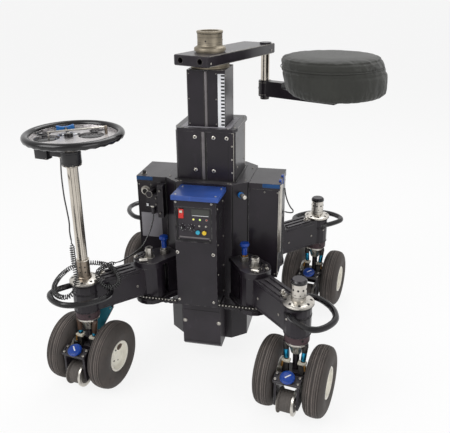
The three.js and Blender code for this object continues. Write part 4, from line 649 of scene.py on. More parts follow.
class DOLLY_OT_studio(Maker):
    """Sets the pale floor, the soft lights and the camera"""
    bl_idname = "dolly.studio"
    bl_label = "Studio"

    def make(self, size):
        scene = bpy.context.scene
        scene.view_settings.view_transform = "Standard"
        self.camera(scene, size.lens)
        self.floor()
        self.world(scene)
        for name, place, width, power, aim in (
                ("key", (-2.2, -2.6, 3.4), 2.6, 95.0, (0, 0, 0.7)),
                ("fill", (3.0, -2.2, 2.2), 2.4, 42.0, (0, 0, 0.7)),
                ("top", (0.3, 1.6, 3.8), 2.2, 60.0, (0, 0, 0.6))):
            light = bpy.data.lights.new(name, "AREA")
            light.size = width
            light.energy = power
            lamp = linked(name, light)
            lamp.location = place
            lamp.rotation_euler = (Vector(aim) - Vector(place)).to_track_quat(
                "-Z", "Y").to_euler()

    def camera(self, scene, lens):
        pitch, yaw, roll = CAMERA_PITCH, CAMERA_YAW, CAMERA_ROLL
        forward = Vector((-math.sin(yaw) * math.cos(pitch),
                          math.cos(yaw) * math.cos(pitch), -math.sin(pitch)))
        right = Vector((math.cos(yaw), math.sin(yaw), 0))
        up = right.cross(forward)
        level, upright = (math.cos(roll) * right + math.sin(roll) * up,
                          math.cos(roll) * up - math.sin(roll) * right)
        lens_data = bpy.data.cameras.new("camera")
        lens_data.sensor_width = 36.0
        lens_data.lens = lens / MM
        camera = linked("camera", lens_data)
        turn = Matrix((level, upright, -forward)).transposed().to_4x4()
        camera.matrix_world = Matrix.Translation(TO_FRAME @ CAMERA_PLACE) @ turn
        scene.camera = camera

    def floor(self):
        made = Finish("floor", (0.9, 0.9, 0.9), 0.9)
        tree = made.tree
        rays = made.node("ShaderNodeLightPath", {}, output="Is Camera Ray")
        glossy = made.node("ShaderNodeLightPath", {}, output="Is Glossy Ray")
        through = made.node("ShaderNodeLightPath", {}, output="Is Transmission Ray")
        glow = made.node("ShaderNodeEmission", {}, (1.0, 1.0, 1.0, 1.0), 1.0)
        mixer = tree.nodes.new("ShaderNodeMixShader")
        tree.links.new(((rays + glossy + through) * 0.86).socket, mixer.inputs[0])
        tree.links.new(made.shader.outputs[0], mixer.inputs[1])
        tree.links.new(glow.socket, mixer.inputs[2])
        tree.links.new(mixer.outputs[0], tree.nodes["Material Output"].inputs[0])
        shape = bmesh.new()
        bmesh.ops.create_grid(shape, x_segments=1, y_segments=1, size=60.0)
        mesh = bpy.data.meshes.new("studio_floor")
        shape.to_mesh(mesh)
        shape.free()
        mesh.materials.append(made.material)
        linked("studio_floor", mesh)

    def world(self, scene):
        world = bpy.data.worlds.new("studio")
        world.use_nodes = True
        scene.world = world
        tree = world.node_tree
        light = tree.nodes["Background"]
        light.inputs[0].default_value = (1.0, 1.0, 1.0, 1.0)
        light.inputs[1].default_value = 0.42
        seen = tree.nodes.new("ShaderNodeBackground")
        seen.inputs[0].default_value = (1.0, 1.0, 1.0, 1.0)
        rays = tree.nodes.new("ShaderNodeLightPath")
        either = tree.nodes.new("ShaderNodeMath")
        either.operation = "ADD"
        tree.links.new(rays.outputs["Is Camera Ray"], either.inputs[0])
        tree.links.new(rays.outputs["Is Transmission Ray"], either.inputs[1])
        sharp = tree.nodes.new("ShaderNodeMath")
        sharp.operation = "MULTIPLY_ADD"
        side = tree.nodes.new("ShaderNodeTexCoord")
        split = tree.nodes.new("ShaderNodeSeparateXYZ")
        spread = tree.nodes.new("ShaderNodeMapRange")
        for socket, value in zip(spread.inputs[1:5], (-0.2, 1.0, 0.12, 1.0)):
            socket.default_value = value
        tree.links.new(side.outputs["Generated"], split.inputs[0])
        tree.links.new(split.outputs["Y"], spread.inputs[0])
        tree.links.new(spread.outputs[0], sharp.inputs[1])
        tree.links.new(rays.outputs["Is Glossy Ray"], sharp.inputs[0])
        tree.links.new(either.outputs[0], sharp.inputs[2])
        mixer = tree.nodes.new("ShaderNodeMixShader")
        tree.links.new(sharp.outputs[0], mixer.inputs[0])
        tree.links.new(light.outputs[0], mixer.inputs[1])
        tree.links.new(seen.outputs[0], mixer.inputs[2])
        tree.links.new(mixer.outputs[0], tree.nodes["World Output"].inputs[0])


# Routes of the steering cord in millimetres, the same as the solids follow
UPPER_ROUTE = (
    (-430.3, -380.4, 879.7), (-430.3, -380.7, 868), (-428, -389, 850), (-421, -405, 825),
    (-414, -418, 795), (-408, -427, 755), (-401, -432, 710), (-397, -434, 668),
    (-398.5, -435, 640), (-397.5, -436, 620), (-396, -436, 604))
CURLY_ROUTE = (
    (-396, -436, 603.7), (-396, -436, 596), (-396, -436, 558), (-395, -437, 508),
    (-389, -443, 473), (-384, -456, 448), (-383, -474, 431), (-390, -492, 420),
    (-408, -504, 416), (-436, -499, 415), (-466, -470, 415), (-488, -420, 415),
    (-492, -366, 420), (-478, -322, 428), (-450, -297, 436), (-420, -287, 440),
    (-385, -279, 440), (-350, -284, 440), (-316, -304, 440), (-288, -330, 438),
    (-268, -354, 425), (-265, -374, 415), (-275, -391, 411), (-295, -402, 412),
    (-314, -402, 424), (-329, -396, 444), (-336, -376, 458), (-328, -350, 462),
    (-313, -324, 463), (-298, -303, 462), (-292, -294.6, 461))
LOWER_ROUTE = (
    (-291.8, -294.4, 461), (-285, -287, 461), (-274, -252, 459), (-258, -205, 462),
    (-237, -172, 480), (-219, -146, 520), (-211.5, -126, 555), (-210, -113, 574),
    (-210, -109.3, 582), (-210, -109.3, 587.7))


def smoothed(route, step):
    """Points every step along a smooth curve through a route."""
    points = [Vector(point) for point in route]
    ends = [2 * points[0] - points[1], *points, 2 * points[-1] - points[-2]]
    made = []
    for before, start, end, after in zip(ends, ends[1:], ends[2:], ends[3:]):
        count = max(1, round((end - start).length / step))
        for index in range(count):
            t = index / count
            made.append(0.5 * (2 * start + (end - before) * t
                        + (2 * before - 5 * start + 4 * end - after) * t ** 2
                        + (3 * start - before - 3 * end + after) * t ** 3))
    return made + [points[-1]]


def crown(z, radius=TREAD_RADIUS):
    """The tread's radius at a distance from the tyre's middle."""
    return radius - TREAD_FALL * (abs(z) / TREAD_HALF) ** TREAD_CURVE


def path_length(points):
    return sum((end - start).length for start, end in zip(points, points[1:]))


class DOLLY_OT_cord(Maker):
    """Makes the steering cord: two thin leads and the curly length between them"""
    bl_idname = "dolly.cord"
    bl_label = "Steering cord"

    def make(self, size):
        thick, lead = size.cord / MM, size.lead / MM
        self.lead("cord_upper", UPPER_ROUTE, "fork_front_left", "cord_lead_upper", lead)
        self.lead("cord_lower", LOWER_ROUTE, "chassis", "cord_lead_lower", lead)
        wound = self.wound(size.curl / MM - thick / 2, size.curls)
        self.cord("cord_curly", wound, "leg_body_front_left", "curly_cord", thick)

    def lead(self, name, route, body, node, thick):
        self.cord(name, smoothed(route, 6.0), body, node, thick)

    def wound(self, radius, curls, steps=14):
        spine = smoothed(CURLY_ROUTE, 1.0)
        rows = curls * steps
        total = path_length(spine)
        marks = [0.0]
        for start, end in zip(spine, spine[1:]):
            marks.append(marks[-1] + (end - start).length)
        normal = Vector((1, 0, 0))
        made, cursor = [spine[0]], 0
        for row in range(rows + 1):
            reach = total * (0.01 + 0.98 * row / rows)
            while cursor < len(marks) - 2 and marks[cursor + 1] < reach:
                cursor += 1
            tangent = (spine[cursor + 1] - spine[cursor]).normalized()
            share = (reach - marks[cursor]) / (marks[cursor + 1] - marks[cursor])
            middle = spine[cursor].lerp(spine[cursor + 1], share)
            normal = (normal - tangent * normal.dot(tangent)).normalized()
            side = tangent.cross(normal)
            turn = WHOLE_TURN * row / steps
            opening = min(1.0, row / (2 * steps), (rows - row) / (2 * steps))
            made.append(middle + radius * opening
                        * (normal * math.cos(turn) + side * math.sin(turn)))
        return made + [spine[-1]]

    def cord(self, name, points, body, node, thick):
        points = [TO_FRAME @ point for point in points]
        curve = bpy.data.curves.new(name, "CURVE")
        curve.dimensions = "3D"
        curve.bevel_depth = thick * MM / 2
        curve.bevel_resolution = 2
        curve.use_fill_caps = True
        line = curve.splines.new("POLY")
        line.points.add(len(points) - 1)
        for point, place in zip(line.points, points):
            point.co = (*place, 1.0)
        line.use_smooth = True
        curve.materials.append(FINISHES["cord_rubber"])
        made = linked(name, curve)
        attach(made, body)
        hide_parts(node)
        points[0] if name != "cord_lower" else points[-1]
        path_length(points)
        thick * MM


class DOLLY_OT_stages(Maker):
    """Adds screws, grooves and the ruler to the two lift stages"""
    bl_idname = "dolly.stages"
    bl_label = "Lift stages"

    def make(self, size):
        self.middle()
        self.inner()
        self.adapter()

    def middle(self):
        low, high = node_box("middle_stage")
        made = Piece("middle_stage_trim", "middle_column")
        front, top = -101.2, high.z - 12
        # Bright rack in the front groove, with its dark slot beside it
        made.add(block((-12.6, front - 0.4, 360), (-1.6, front + 0.6, top), 0.3), "rack_grey")
        made.add(block((-1.6, front - 0.2, 360), (4, front + 0.4, top), 0), "shadow_black")
        for x in (-16, 4.4):
            made.add(block((x - 0.8, front - 0.9, 360), (x + 0.8, front + 0.5, top), 0.3),
                     "dark_steel")
        big = [(-37.4, top - 21), (32, top - 21), (80.7, top - 21), (-37.2, top - 146),
               (31.3, top - 147)]
        made.screws([(x, front, z) for x, z in big], FRONT, 7.6, "nickel", 3)
        made.screws(grid(100, front, evenly(top, -50, 6)), FRONT, 3.6, "nickel", 1.8)
        made.add(block((85.6, front - 0.2, 360), (86.8, front + 0.4, top), 0), "shadow_black")
        # Painted highlights: pale strips near the right front edge and near the right side's back
        # edge, where the rounded corners catch the light
        made.add(block((105, front - 0.6, 360), (107.4, front + 0.6, top), 0.4), "dull_nickel")
        made.add(block((111.4, 84, 360), (112.8, 88, top), 0.4), "nickel")
        levels = evenly(top - 30, -110, 4)
        for x in (-112, 112):
            made.screws(grid(x, (-60, 60), levels), (x, 0, 0), 3.4, "dull_nickel", 1.6)
        made.screws(grid((-90, 90), 101, levels), BACK, 3.4, "dull_nickel", 1.6)
        made.screws(grid((-104, 104), (-72, 96), high.z) + grid((-84, 84), -94, high.z), UP,
                    4.0, "dull_nickel", 1.8)
        # Pale wiper plate on the collar and the line under it
        rim = slab([(-92, -89), (92, -89), (92, 89), (-92, 89)], high.z - 0.4, high.z + 0.9, 0.4)
        made.add(carved(rim, block((-71, -76, high.z - 5), (71, 76, high.z + 5), 0)),
                 "label_grey")
        for x in (-1, 1):
            made.add(block((x * 116 - 0.4, low.y + 34, high.z - 1.4),
                           (x * 116 + 0.4, high.y - 34, high.z - 0.4), 0), "dull_nickel")
        made.done("black_casting")

    def inner(self):
        low, high = node_box("inner_stage")
        made = Piece("inner_stage_trim", "inner_column")
        front = low.y
        made.add(block((-4.4, front - 0.3, 560), (4.6, front + 0.6, high.z - 4), 0.3),
                 "rack_grey")
        for x in (-6.6, 6.6):
            made.add(block((x - 0.9, front - 0.6, 560), (x + 0.9, front + 0.6, high.z - 4), 0.3),
                     "dark_steel")
        # White ruler strip with plain division marks and no figures
        made.add(block((44, front - 0.8, 560), (69, front + 0.4, high.z - 12), 0.3),
                 "white_scale")
        for level in evenly(566, 12.5, 45):
            made.add(block((56, front - 1.2, level - 3.0), (68.6, front - 0.6, level + 3.0), 0),
                     "shadow_black")
        made.screws(grid((-62, 38), front, evenly(high.z - 12, -90, 5)), FRONT, 2.6,
                    "dull_nickel", 1.4)
        levels = evenly(high.z - 20, -100, 5)
        made.screws(grid((-54, 54), high.y, levels), BACK, 3, "dull_nickel", 1.6)
        for x in (low.x, high.x):
            made.screws(grid(x, (-62, 62), levels), (x, 0, 0), 3, "dull_nickel", 1.6)
        made.screws(grid((-58, 58), (-66, 66), high.z), UP, 3.6, "dull_nickel", 1.8)
        made.done("black_casting")

    def adapter(self):
        low, high = node_box("camera_adapter")
        top = high.z
        made = Piece("camera_adapter_body", "inner_column")
        base, beam = BEAM_TOP + 0.3, BEAM_BOTTOM
        outer = turned([
            (32.2, top), (32.2, top - 30), (31, top - 39.8), (0.001, top - 39.8),
            (0.001, beam - 1), (29.9, beam - 1), (29.9, base), (51.8, base),
            (51.8, base + 5.2), (57.2, base + 5.2), (57.2, base + 14), (56, base + 16),
            (50, base + 19.4), (46.4, base + 21.6), (45.2, base + 24), (44.8, base + 44),
            (45.2, top - 9), (46.2, top - 7), (47.3, top - 6), (47.3, top - 1.4), (46, top),
            (35, top), (33.6, top - 1.2)], 72, ring=True)
        made.add(outer, "bronze")
        made.add(torus(45.6, 0.7, 72, 8, top - 8.4), "shadow_black")
        for lift in (28, 34, 52):
            made.add(torus(45.0, 0.45, 72, 8, base + lift), "dark_steel")
        made.round_screws((0.4, 2.5, 4.6), 44.8, base + 40, 3, "dark_steel", 1.4)
        # Turntable ring below the beam
        bottom = low.z
        ring = turned([(0.001, bottom), (68.6, bottom), (69.9, bottom + 1.2),
                       (69.9, bottom + 6.4), (68.2, bottom + 7.0), (68.2, bottom + 8.4),
                       (69.9, bottom + 9.0), (69.9, bottom + 14.8), (68.6, bottom + 15.9),
                       (29.9, bottom + 15.9), (29.9, beam - 0.9), (0.001, beam - 0.9)],
                      72, ring=True)
        made.add(ring, "bronze")
        made.done("bronze", "camera_adapter")


class DOLLY_OT_beam(Maker):
    """Makes the seat beam with its chamfers and holes, and the swinging arm's trim"""
    bl_idname = "dolly.beam"
    bl_label = "Seat beam and arm"

    def make(self, size):
        self.beam()
        self.arm()

    def beam(self):
        along = Matrix.Rotation(BEAM_TURN, 4, "Z")
        bottom, top = BEAM_BOTTOM, BEAM_TOP
        half, back, reach, corner = 72.8, -121.8, 346.8, 4.2
        outline = [(back, -half + corner), (back + corner, -half), (reach - corner, -half),
                   (reach, -half + corner), (reach, half - corner), (reach - corner, half),
                   (back + corner, half), (back, half - corner)]
        shape = slab(outline, bottom, top, 3.2, 1)
        spigot = drum(30.4, bottom - 5, top + 5, 0, 64)
        post = along.inverted() @ SEAT_POST
        socket = drum(16.9, bottom - 5, top + 5, 0, 48, at=post.xy)
        ends = [moved(drum(10, 0, 23, 0, 28), facing((back - 1, side * 42, (bottom + top) / 2),
                                                    (1, 0, 0))) for side in (-1, 1)]
        shape = carved(shape, spigot, socket, *ends)
        made = Piece("seat_beam_body", "beam", along)
        made.add(shape, "casting")
        for side in (-1, 1):
            for lift in (bottom + 0.9, top - 0.9):
                made.add(block((back + 18, side * (half - 1.4) - 0.9, lift - 0.9),
                               (reach - 18, side * (half - 1.4) + 0.9, lift + 0.9), 0.4),
                         "dull_nickel")
            hole = facing((back - 0.2, side * 42, (bottom + top) / 2), (1, 0, 0))
            made.add(band(10, 12.4, 0, 1.2, 32), "dark_steel", hole)
        made.add(band(31, 36, top, top + 0.28, 56), "dark_steel")
        made.screws(grid((20, 60, 180, 300), (-54, 54), top), UP, 3.4, "dull_nickel", 1.0)
        made.screws(grid((90, 180, 300), (-54, 54), bottom), DOWN, 3.4, "dull_nickel", 1.0)
        for y, direction in ((-half, FRONT), (half, BACK)):
            made.screws(grid((back + 24, reach - 30), y, bottom + 12), direction, 3.6, "nickel",
                        1.4)
        made.done("black_paint", "seat_beam")

    def arm(self):
        made = Piece("seat_arm_trim", "arm", Matrix.Translation(SEAT_POST))
        # Collar on the beam, rings and cap of the hub, and the screws of the clamp
        made.add(turned([(16.4, 1187.9), (22, 1187.9), (22, 1189.4), (16.4, 1190)], 48,
                        ring=True), "dark_steel")
        made.add(band(16.4, 16.9, 1047.4, 1150, 48), "chrome")
        made.add(torus(25.2, 1.1, 56, 8, 1040), "dull_nickel")
        made.add(torus(25.2, 1.1, 56, 8, 992), "dull_nickel")
        made.add(torus(18.2, 0.9, 48, 8, 978), "dull_nickel")
        made.round_screws((0.9, 3.2, 5.4), 25.4, 1016, 3.4, "dull_nickel", 1.6)
        made.done("black_paint")


class DOLLY_OT_seat(Maker):
    """Makes the padded seat with its seams and gathered skirt"""
    bl_idname = "dolly.seat"
    bl_label = "Seat"

    def make(self, size):
        low, high = node_box("seat_cushion")
        middle = (low + high) / 2
        middle.z = low.z
        tall = high.z - low.z
        source = frame["nodes"]["seat_cushion"]
        mesh = source.data.copy()
        shape = bmesh.new()
        shape.from_mesh(mesh)
        bmesh.ops.remove_doubles(shape, verts=shape.verts, dist=0.00005)
        bmesh.ops.dissolve_limit(shape, angle_limit=0.02, verts=shape.verts,
                                 edges=shape.edges)
        bmesh.ops.triangulate(shape, faces=shape.faces)
        self.skin = BVHTree.FromBMesh(shape)
        shape.to_mesh(mesh)
        shape.free()
        made = linked("seat_cover", mesh)
        start = [tuple(corner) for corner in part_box("seat_cushion")]
        self.shrink(mesh, TO_FRAME @ middle, 0.985)
        self.remesh(made, 0.005)
        self.puff(made, size.swell)
        self.shape_cover(made, middle, tall)
        self.inside(made.data, start)
        mesh = made.data
        mesh.materials.clear()
        mesh.materials.append(FINISHES["fabric"])
        for face in mesh.polygons:
            face.use_smooth = True
        smooth = made.modifiers.new("smooth", "SUBSURF")
        smooth.levels = smooth.render_levels = 1
        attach(made, "seat")
        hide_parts("seat_cushion")
        self.bead(middle, tall)

    def shrink(self, mesh, middle, share):
        for vertex in mesh.vertices:
            vertex.co = middle + (vertex.co - middle) * share

    def applied(self, made):
        graph = bpy.context.evaluated_depsgraph_get()
        mesh = bpy.data.meshes.new_from_object(made.evaluated_get(graph))
        made.modifiers.clear()
        made.data = mesh

    def remesh(self, made, voxel):
        fine = made.modifiers.new("fine", "REMESH")
        fine.mode = "VOXEL"
        fine.voxel_size = voxel
        self.applied(made)

    def puff(self, made, swell):
        rest = [vertex.co.copy() for vertex in made.data.vertices]
        cloth = made.modifiers.new("cloth", "CLOTH")
        cloth.settings.use_pressure = True
        cloth.settings.uniform_pressure_force = 4.0
        cloth.settings.effector_weights.gravity = 0.0
        cloth.settings.quality = 5
        scene = bpy.context.scene
        for step in range(1, 21):
            scene.frame_set(step)
        self.applied(made)
        scene.frame_set(1)
        for vertex, first in zip(made.data.vertices, rest):
            shift = vertex.co - first
            if shift.length > swell:
                vertex.co = first + shift * (swell / shift.length)

    def shape_cover(self, made, middle, tall):
        """Draws the seams in, folds the skirt and gathers its hem."""
        height = tall * MM
        axis = TO_FRAME @ middle
        for vertex in made.data.vertices:
            place = vertex.co - axis
            share = place.z / height
            turn = math.atan2(place.y, place.x)
            out = Vector((place.x, place.y, 0))
            far = out.length
            if far < 0.09:
                continue
            out /= far
            pull = 5.2 * math.exp(-((share - 0.90) / 0.018) ** 2)
            pull += 4.0 * math.exp(-((share - 0.71) / 0.02) ** 2)
            pull += 3.2 * math.exp(-((share - 0.60 - 0.012 * math.sin(3 * turn)) / 0.025) ** 2)
            pull -= 8 * max(0.0, math.cos(turn - 0.15)) * math.exp(-((share - 0.52) / 0.3) ** 2)
            pull += 14 * (max(0.0, 1 - share / 0.22) * math.cos(turn)) ** 2
            folds = (math.sin(9 * turn + 5 * share) + 0.6 * math.sin(23 * turn + 1.7)
                     + 0.5 * math.sin(37 * turn - 4 * share))
            skirt = max(0.0, min(1.0, (0.62 - share) / 0.25)) * min(1.0, share / 0.06)
            gathers = max(0.0, 1 - share / 0.28) * math.sin(61 * turn + 2 * math.sin(5 * turn))
            pull += skirt * (0.9 * folds + 1.5) + gathers * 1.3
            vertex.co -= out * pull * MM

    def inside(self, mesh, box):
        """Keeps the cover within the solid's box and a small allowance for fabric."""
        room = (0.003, 0.003, 0.0005)
        for vertex in mesh.vertices:
            for axis in range(3):
                vertex.co[axis] = min(max(vertex.co[axis], box[0][axis] - room[axis]),
                                      box[1][axis] + room[axis])

    def bead(self, middle, tall):
        """Sewn welts round the top disc."""
        made = Piece("seat_welt", "seat")
        level = middle.z + tall * 0.71
        points = [self.reach(direction, level) - direction * 2.2
                  for direction in map(heading, turns(96))]
        made.add(tube(points, 1.7, 8, closed=True), "fabric")
        self.welt = made.done("seat_fabric")

    def reach(self, direction, level):
        """The cushion solid's surface at a level, in one direction from its middle."""
        low, high = node_box("seat_cushion")
        middle = (low + high) / 2
        start = TO_FRAME @ Vector((middle.x, middle.y, level))
        place = self.skin.ray_cast(start + direction * 0.4, -direction)[0]
        if place is None:
            raise RuntimeError("the seat's side was not found")
        return TO_MM @ place


class DOLLY_OT_boxes(Maker):
    """Dresses the housing, the control box and the two battery boxes"""
    bl_idname = "dolly.boxes"
    bl_label = "Column boxes"

    def make(self, size):
        self.housing(size.screw / MM)
        self.front(size.screw / MM)
        self.lid()
        self.panel()
        self.switches()
        self.lower()
        for side, name in ((1, "battery_box_right"), (-1, "battery_box_left")):
            self.battery(side, name)
        self.socket()

    def housing(self, radius):
        made = Piece("housing_trim", "chassis")
        top = 735.3
        made.screws(grid((-146, 146), (-76, 76), top) + grid((-90, 90), (-124, 124), top)
                    + grid((-100, 100), -127, top), UP, 4.2, "dull_nickel", 2)
        # Wiper frame round the middle stage
        rim = slab([(-119, -108), (119, -108), (119, 108), (-119, 108)], top - 0.6, top + 2.2,
                   0.8)
        made.add(carved(rim, block((-113, -102, top - 5), (113, 102, top + 9), 0)),
                 "rubber_cap")
        for x in (-1, 1):
            # Chamfer faces between the front and the sides carry a dark seam strip
            low, high = Vector((x * 105.4, -138.2, 0)), Vector((x * 161.2, -91.4, 0))
            for share in (0.06, 0.94):
                at = low.lerp(high, share)
                made.add(block((at.x - 1.6, at.y - 1.6, 470), (at.x + 1.6, at.y + 1.6, 728), 0.5),
                         "shadow_black")
        made.screws(grid((-80, 0, 80), 160.2, (120, 300, 480, 700)), BACK, radius, "dull_nickel", 2)
        made.add(block((-70, 159.6, 330), (70, 161.4, 600), 0.8), "casting")
        for level in evenly(350, 14, 9):
            made.add(block((-52, 161, level), (52, 161.9, level + 5), 0.3), "shadow_black")
        made.screws(grid((-60, 60), 161.4, (342, 588)), BACK, 4, "dull_nickel", 1.6)
        # Steel spigot with a blue sleeve on the right front chamfer
        middle = Vector((133, -114.8, 692))
        across = Vector((46.6, -56.2, 0)).normalized()
        made.add(bar(middle, middle + across * 10, 11, 1.2), "lever_blue")
        made.add(bar(middle + across * 10, middle + across * 28, 8.6, 1.0), "dull_nickel")
        made.add(bar(middle + across * 28, middle + across * 36, 8.6, 0.8, 6), "nickel")
        made.done("black_casting")

    def front(self, radius):
        made = Piece("control_box_trim", "chassis")
        face = -262.2
        low, high = (-76.6, face - 1.6, 293), (76.6, face + 0.6, 712)
        plate = carved(block(low, high, 1.2),
                       block((-72, face - 4, 553), (60, face + 4, 688), 0.6))
        made.add(plate, "casting")
        for right, level, more, height in ((60, 705, -0.6, 2.6), (64, 509, 1.8, 2.8),
                                           (62, 312, 0, 2.2)):
            made.screws(grid((-70, right), face - 1.6, level), FRONT, radius + more, "nickel",
                        height)
        made.add(block((-76.6, face + 0.4, 705), (76.6, -140, 714), 0.8), "shadow_black")
        for side in (-1, 1):
            made.screws(grid(side * 77.2, (-244, -160), (310, 420, 540, 680)), (side, 0, 0),
                        3.4, "dull_nickel", 1.8)
            for level in evenly(590, 12, 6):
                made.add(block((side * 77 - 0.8, -226, level),
                               (side * 77 + 0.8, -178, level + 4), 0.5), "shadow_black")
        made.done("black_casting")

    def lid(self):
        """Folded lid: its front edge stands a little above its back edge."""
        low, high = node_box("control_lid")
        made = Piece("control_lid_body", "chassis")
        front, back, top = low.y, high.y, 726.2
        outline = [(front, 713.4), (front, 728.6), (front + 3, 730.6), (back, top), (back, 709)]
        upright = Matrix(((0, 0, 1, low.x), (1, 0, 0, 0), (0, 1, 0, 0), (0, 0, 0, 1)))
        made.add(slab(outline, 0, high.x - low.x, 1.4), "lid_blue", upright)
        tilt = math.atan2(top - 730.6, back - front - 3)
        for x in (low.x + 13, high.x - 13):
            for share in (0.12, 0.82):
                y = front + 3 + (back - front - 3) * share
                level = 730.6 + (top - 730.6) * share
                made.add(screw(3.6, 1.6), "nickel", facing((x, y, level),
                                                         (0, -math.sin(tilt), math.cos(tilt))))
        made.done("lid_blue", "control_lid")

    def panel(self):
        face = -257.2
        low, high = (-70, 556), (58, 685)
        made = Piece("panel_trim", "chassis")
        frame_bar = 3.4
        border = slab([(low[0], low[1]), (high[0], low[1]), (high[0], high[1]),
                       (low[0], high[1])], 0, 3.6, 1.2)
        hole = block((low[0] + frame_bar, low[1] + frame_bar, -4),
                     (high[0] - frame_bar, high[1] - frame_bar, 8), 0)
        upright = Matrix(((1, 0, 0, 0), (0, 0, -1, face + 0.4), (0, 1, 0, 0), (0, 0, 0, 1)))
        made.add(carved(border, hole), "rubber_cap", upright)
        # Display, its light strip and its bezel
        made.add(block((-18, face - 2.2, 652), (54, face + 0.4, 686 - 3.4), 1.2), "rubber_cap")
        made.add(block((-14, face - 2.8, 658), (50, face - 2, 680), 0.6), "display_glass")
        made.add(block((-12, face - 3.0, 654.6), (48, face - 2, 656.6), 0.3), "white_scale")
        for index, lamp in enumerate(("lamp_yellow", "lamp_green", "lamp_red")):
            place = facing((-8 + 24 * index, face, 640), FRONT)
            made.add(turned([(0, 2.2), (2.2, 2.0), (3, 0.8), (3, 0), (0, 0)], 20), lamp, place)
            made.add(band(3, 4.4, 0, 0.9, 24), "dull_nickel", place)
        for x in (14, 38):
            place = facing((x, face, 616), FRONT)
            made.add(turned([(0, 2.4), (3.6, 2.4), (4.6, 1.2), (4.6, 0), (0, 0)], 6),
                     "dull_nickel", place)
            made.add(bar((x, face - 1.5, 616), (x + 1, face - 11, 619), 1.7, 0.6, 16, 2.3),
                     "nickel")
        for x in (-50, -16):
            made.add(bar((x, face - 6, 607), (x, face - 12.5, 607), 7.4, 1.4, 28, 6.4),
                     "gloss_black")
            made.add(block((x - 0.7, face - 13, 607), (x + 0.7, face - 12.2, 613), 0.2),
                     "white_scale")
            for step in range(7):
                turn = math.radians(-50 + step * 46.7)
                made.add(block((-0.4, 11.4, 0), (0.4, 14, 0.5), 0), "white_scale",
                         facing((x, face, 607), FRONT) @ Matrix.Rotation(turn, 4, "Z"))
        made.add(block((-62, face - 1.0, 566), (50, face + 0.4, 572), 0.5), "rack_grey")
        made.screws(grid((-64, 52), face, (562, 679)), FRONT, 2.4, "dull_nickel", 1.2)
        made.done("black_casting")

    def switches(self):
        low, high = node_box("rocker_switch")
        made = Piece("rocker_trim", "rocker")
        middle = (low + high) / 2
        made.add(block((middle.x - 5.5, low.y - 0.25, middle.z + 3.5),
                       (middle.x + 5.5, low.y + 0.8, middle.z + 12.5), 0.3), "ivory")
        made.done("red_plastic")
        for side, finish in (("left", "cyan_plastic"), ("right", "yellow_plastic")):
            low, high = node_box("panel_button_" + side)
            middle = (low + high) / 2
            cap = Piece("button_cap_" + side, "button_" + side)
            cap.add(turned([(7.9, 0), (7.9, 1.0), (6.9, 2.0), (0, 1.6), (0, 0)], 32),
                    finish, facing((middle.x, low.y + 1.2, middle.z), FRONT))
            cap.done("cyan_plastic" if side == "left" else "yellow_plastic")

    def lower(self):
        low, high = node_box("lower_cover")
        made = Piece("lower_cover_trim", "chassis")
        for x in (-66, 69):
            place = facing((x, low.y - 0.1, 191), FRONT)
            made.add(band(5.4, 8.2, 0, 1.2, 28), "dull_nickel", place)
            made.add(screw(5.4, 2.4), "nickel", place)
        for z in (240, 100):
            made.add(block((low.x + 0.4, low.y - 0.6, z), (high.x - 0.4, low.y + 0.4, z + 1), 0),
                     "shadow_black")
        made.done("black_casting")

    def battery(self, side, name):
        low, high = node_box(name)
        made = Piece(name + "_trim", "chassis")
        front, top = low.y, high.z
        outer, inner = (high.x, low.x) if side > 0 else (low.x, high.x)
        # Blue strip on the outer half of the front top edge, with screws below
        xs = sorted((outer, outer - side * 64))
        made.add(block((xs[0], front - 1.4, top - 16), (xs[1], front + 0.4, top - 1), 0.8),
                 "stripe_blue")
        made.screws(grid((xs[0] + 8, xs[1] - 8), front + 2, top - 34), FRONT, 3.4,
                    "dull_nickel", 1.8)
        made.screws(grid((low.x + 12, high.x - 12), front + 2, low.z + 14), FRONT, 3.4,
                    "dull_nickel", 1.8)
        made.add(block((low.x + 1, front + 1.2, top - 25.6), (high.x - 1, front + 2.2, top - 24),
                       0), "shadow_black")
        edge = outer - side * 2.4
        made.add(block((edge - 1.4, front + 0.7, low.z + 8), (edge + 1.4, front + 2.6, top - 26),
                       0.5), "nickel" if side > 0 else "shadow_black")
        # Screws and vents on the outer side, handle recess on the back
        made.screws(grid(outer - side * 2, (front + 14, -front - 14),
                         (low.z + 16, (low.z + top) / 2, top - 40)), (side, 0, 0), 3.6,
                    "dull_nickel", 1.8)
        for level in evenly(low.z + 60, 13, 7):
            made.add(block((outer - side * 2 - 0.7, -46, level), (outer - side * 2 + 0.7, 46,
                                                               level + 4), 0.5),
                     "shadow_black")
        made.add(block((low.x + 20, -front - 0.6, top - 19), (high.x - 20, -front + 0.6,
                                                            top - 6), 0.5), "rubber_cap")
        if side > 0:
            self.strap_side(made, outer, front, low.z, top)
        else:
            self.switch_side(made, outer, inner, front, top)
        made.done("black_casting")

    def strap_side(self, made, outer, front, bottom, top):
        """Bright corner rail, two blue latches and the carrying strap."""
        made.add(block((outer - 1, front + 4, bottom + 106), (outer + 7, front + 24, top - 6),
                       1.2), "nickel")
        for y in (-52, 8):
            made.add(block((outer - 8, y - 12, top - 1), (outer + 1.0, y + 12, top + 4.5),
                           1.4), "blue_plastic")
            made.add(block((outer - 0.6, y - 9, top - 30), (outer + 2.4, y + 9, top + 3),
                           1.2), "blue_plastic")
        strap = [(outer + 1, 56, top - 66), (outer + 4, 60, top - 100),
                 (outer + 22, 64, top - 146), (outer + 38, 66, top - 162),
                 (outer + 30, 70, top - 176), (outer + 1, 74, top - 172)]
        made.add(tube(strap, 2.6, 10), "rubber_cap")

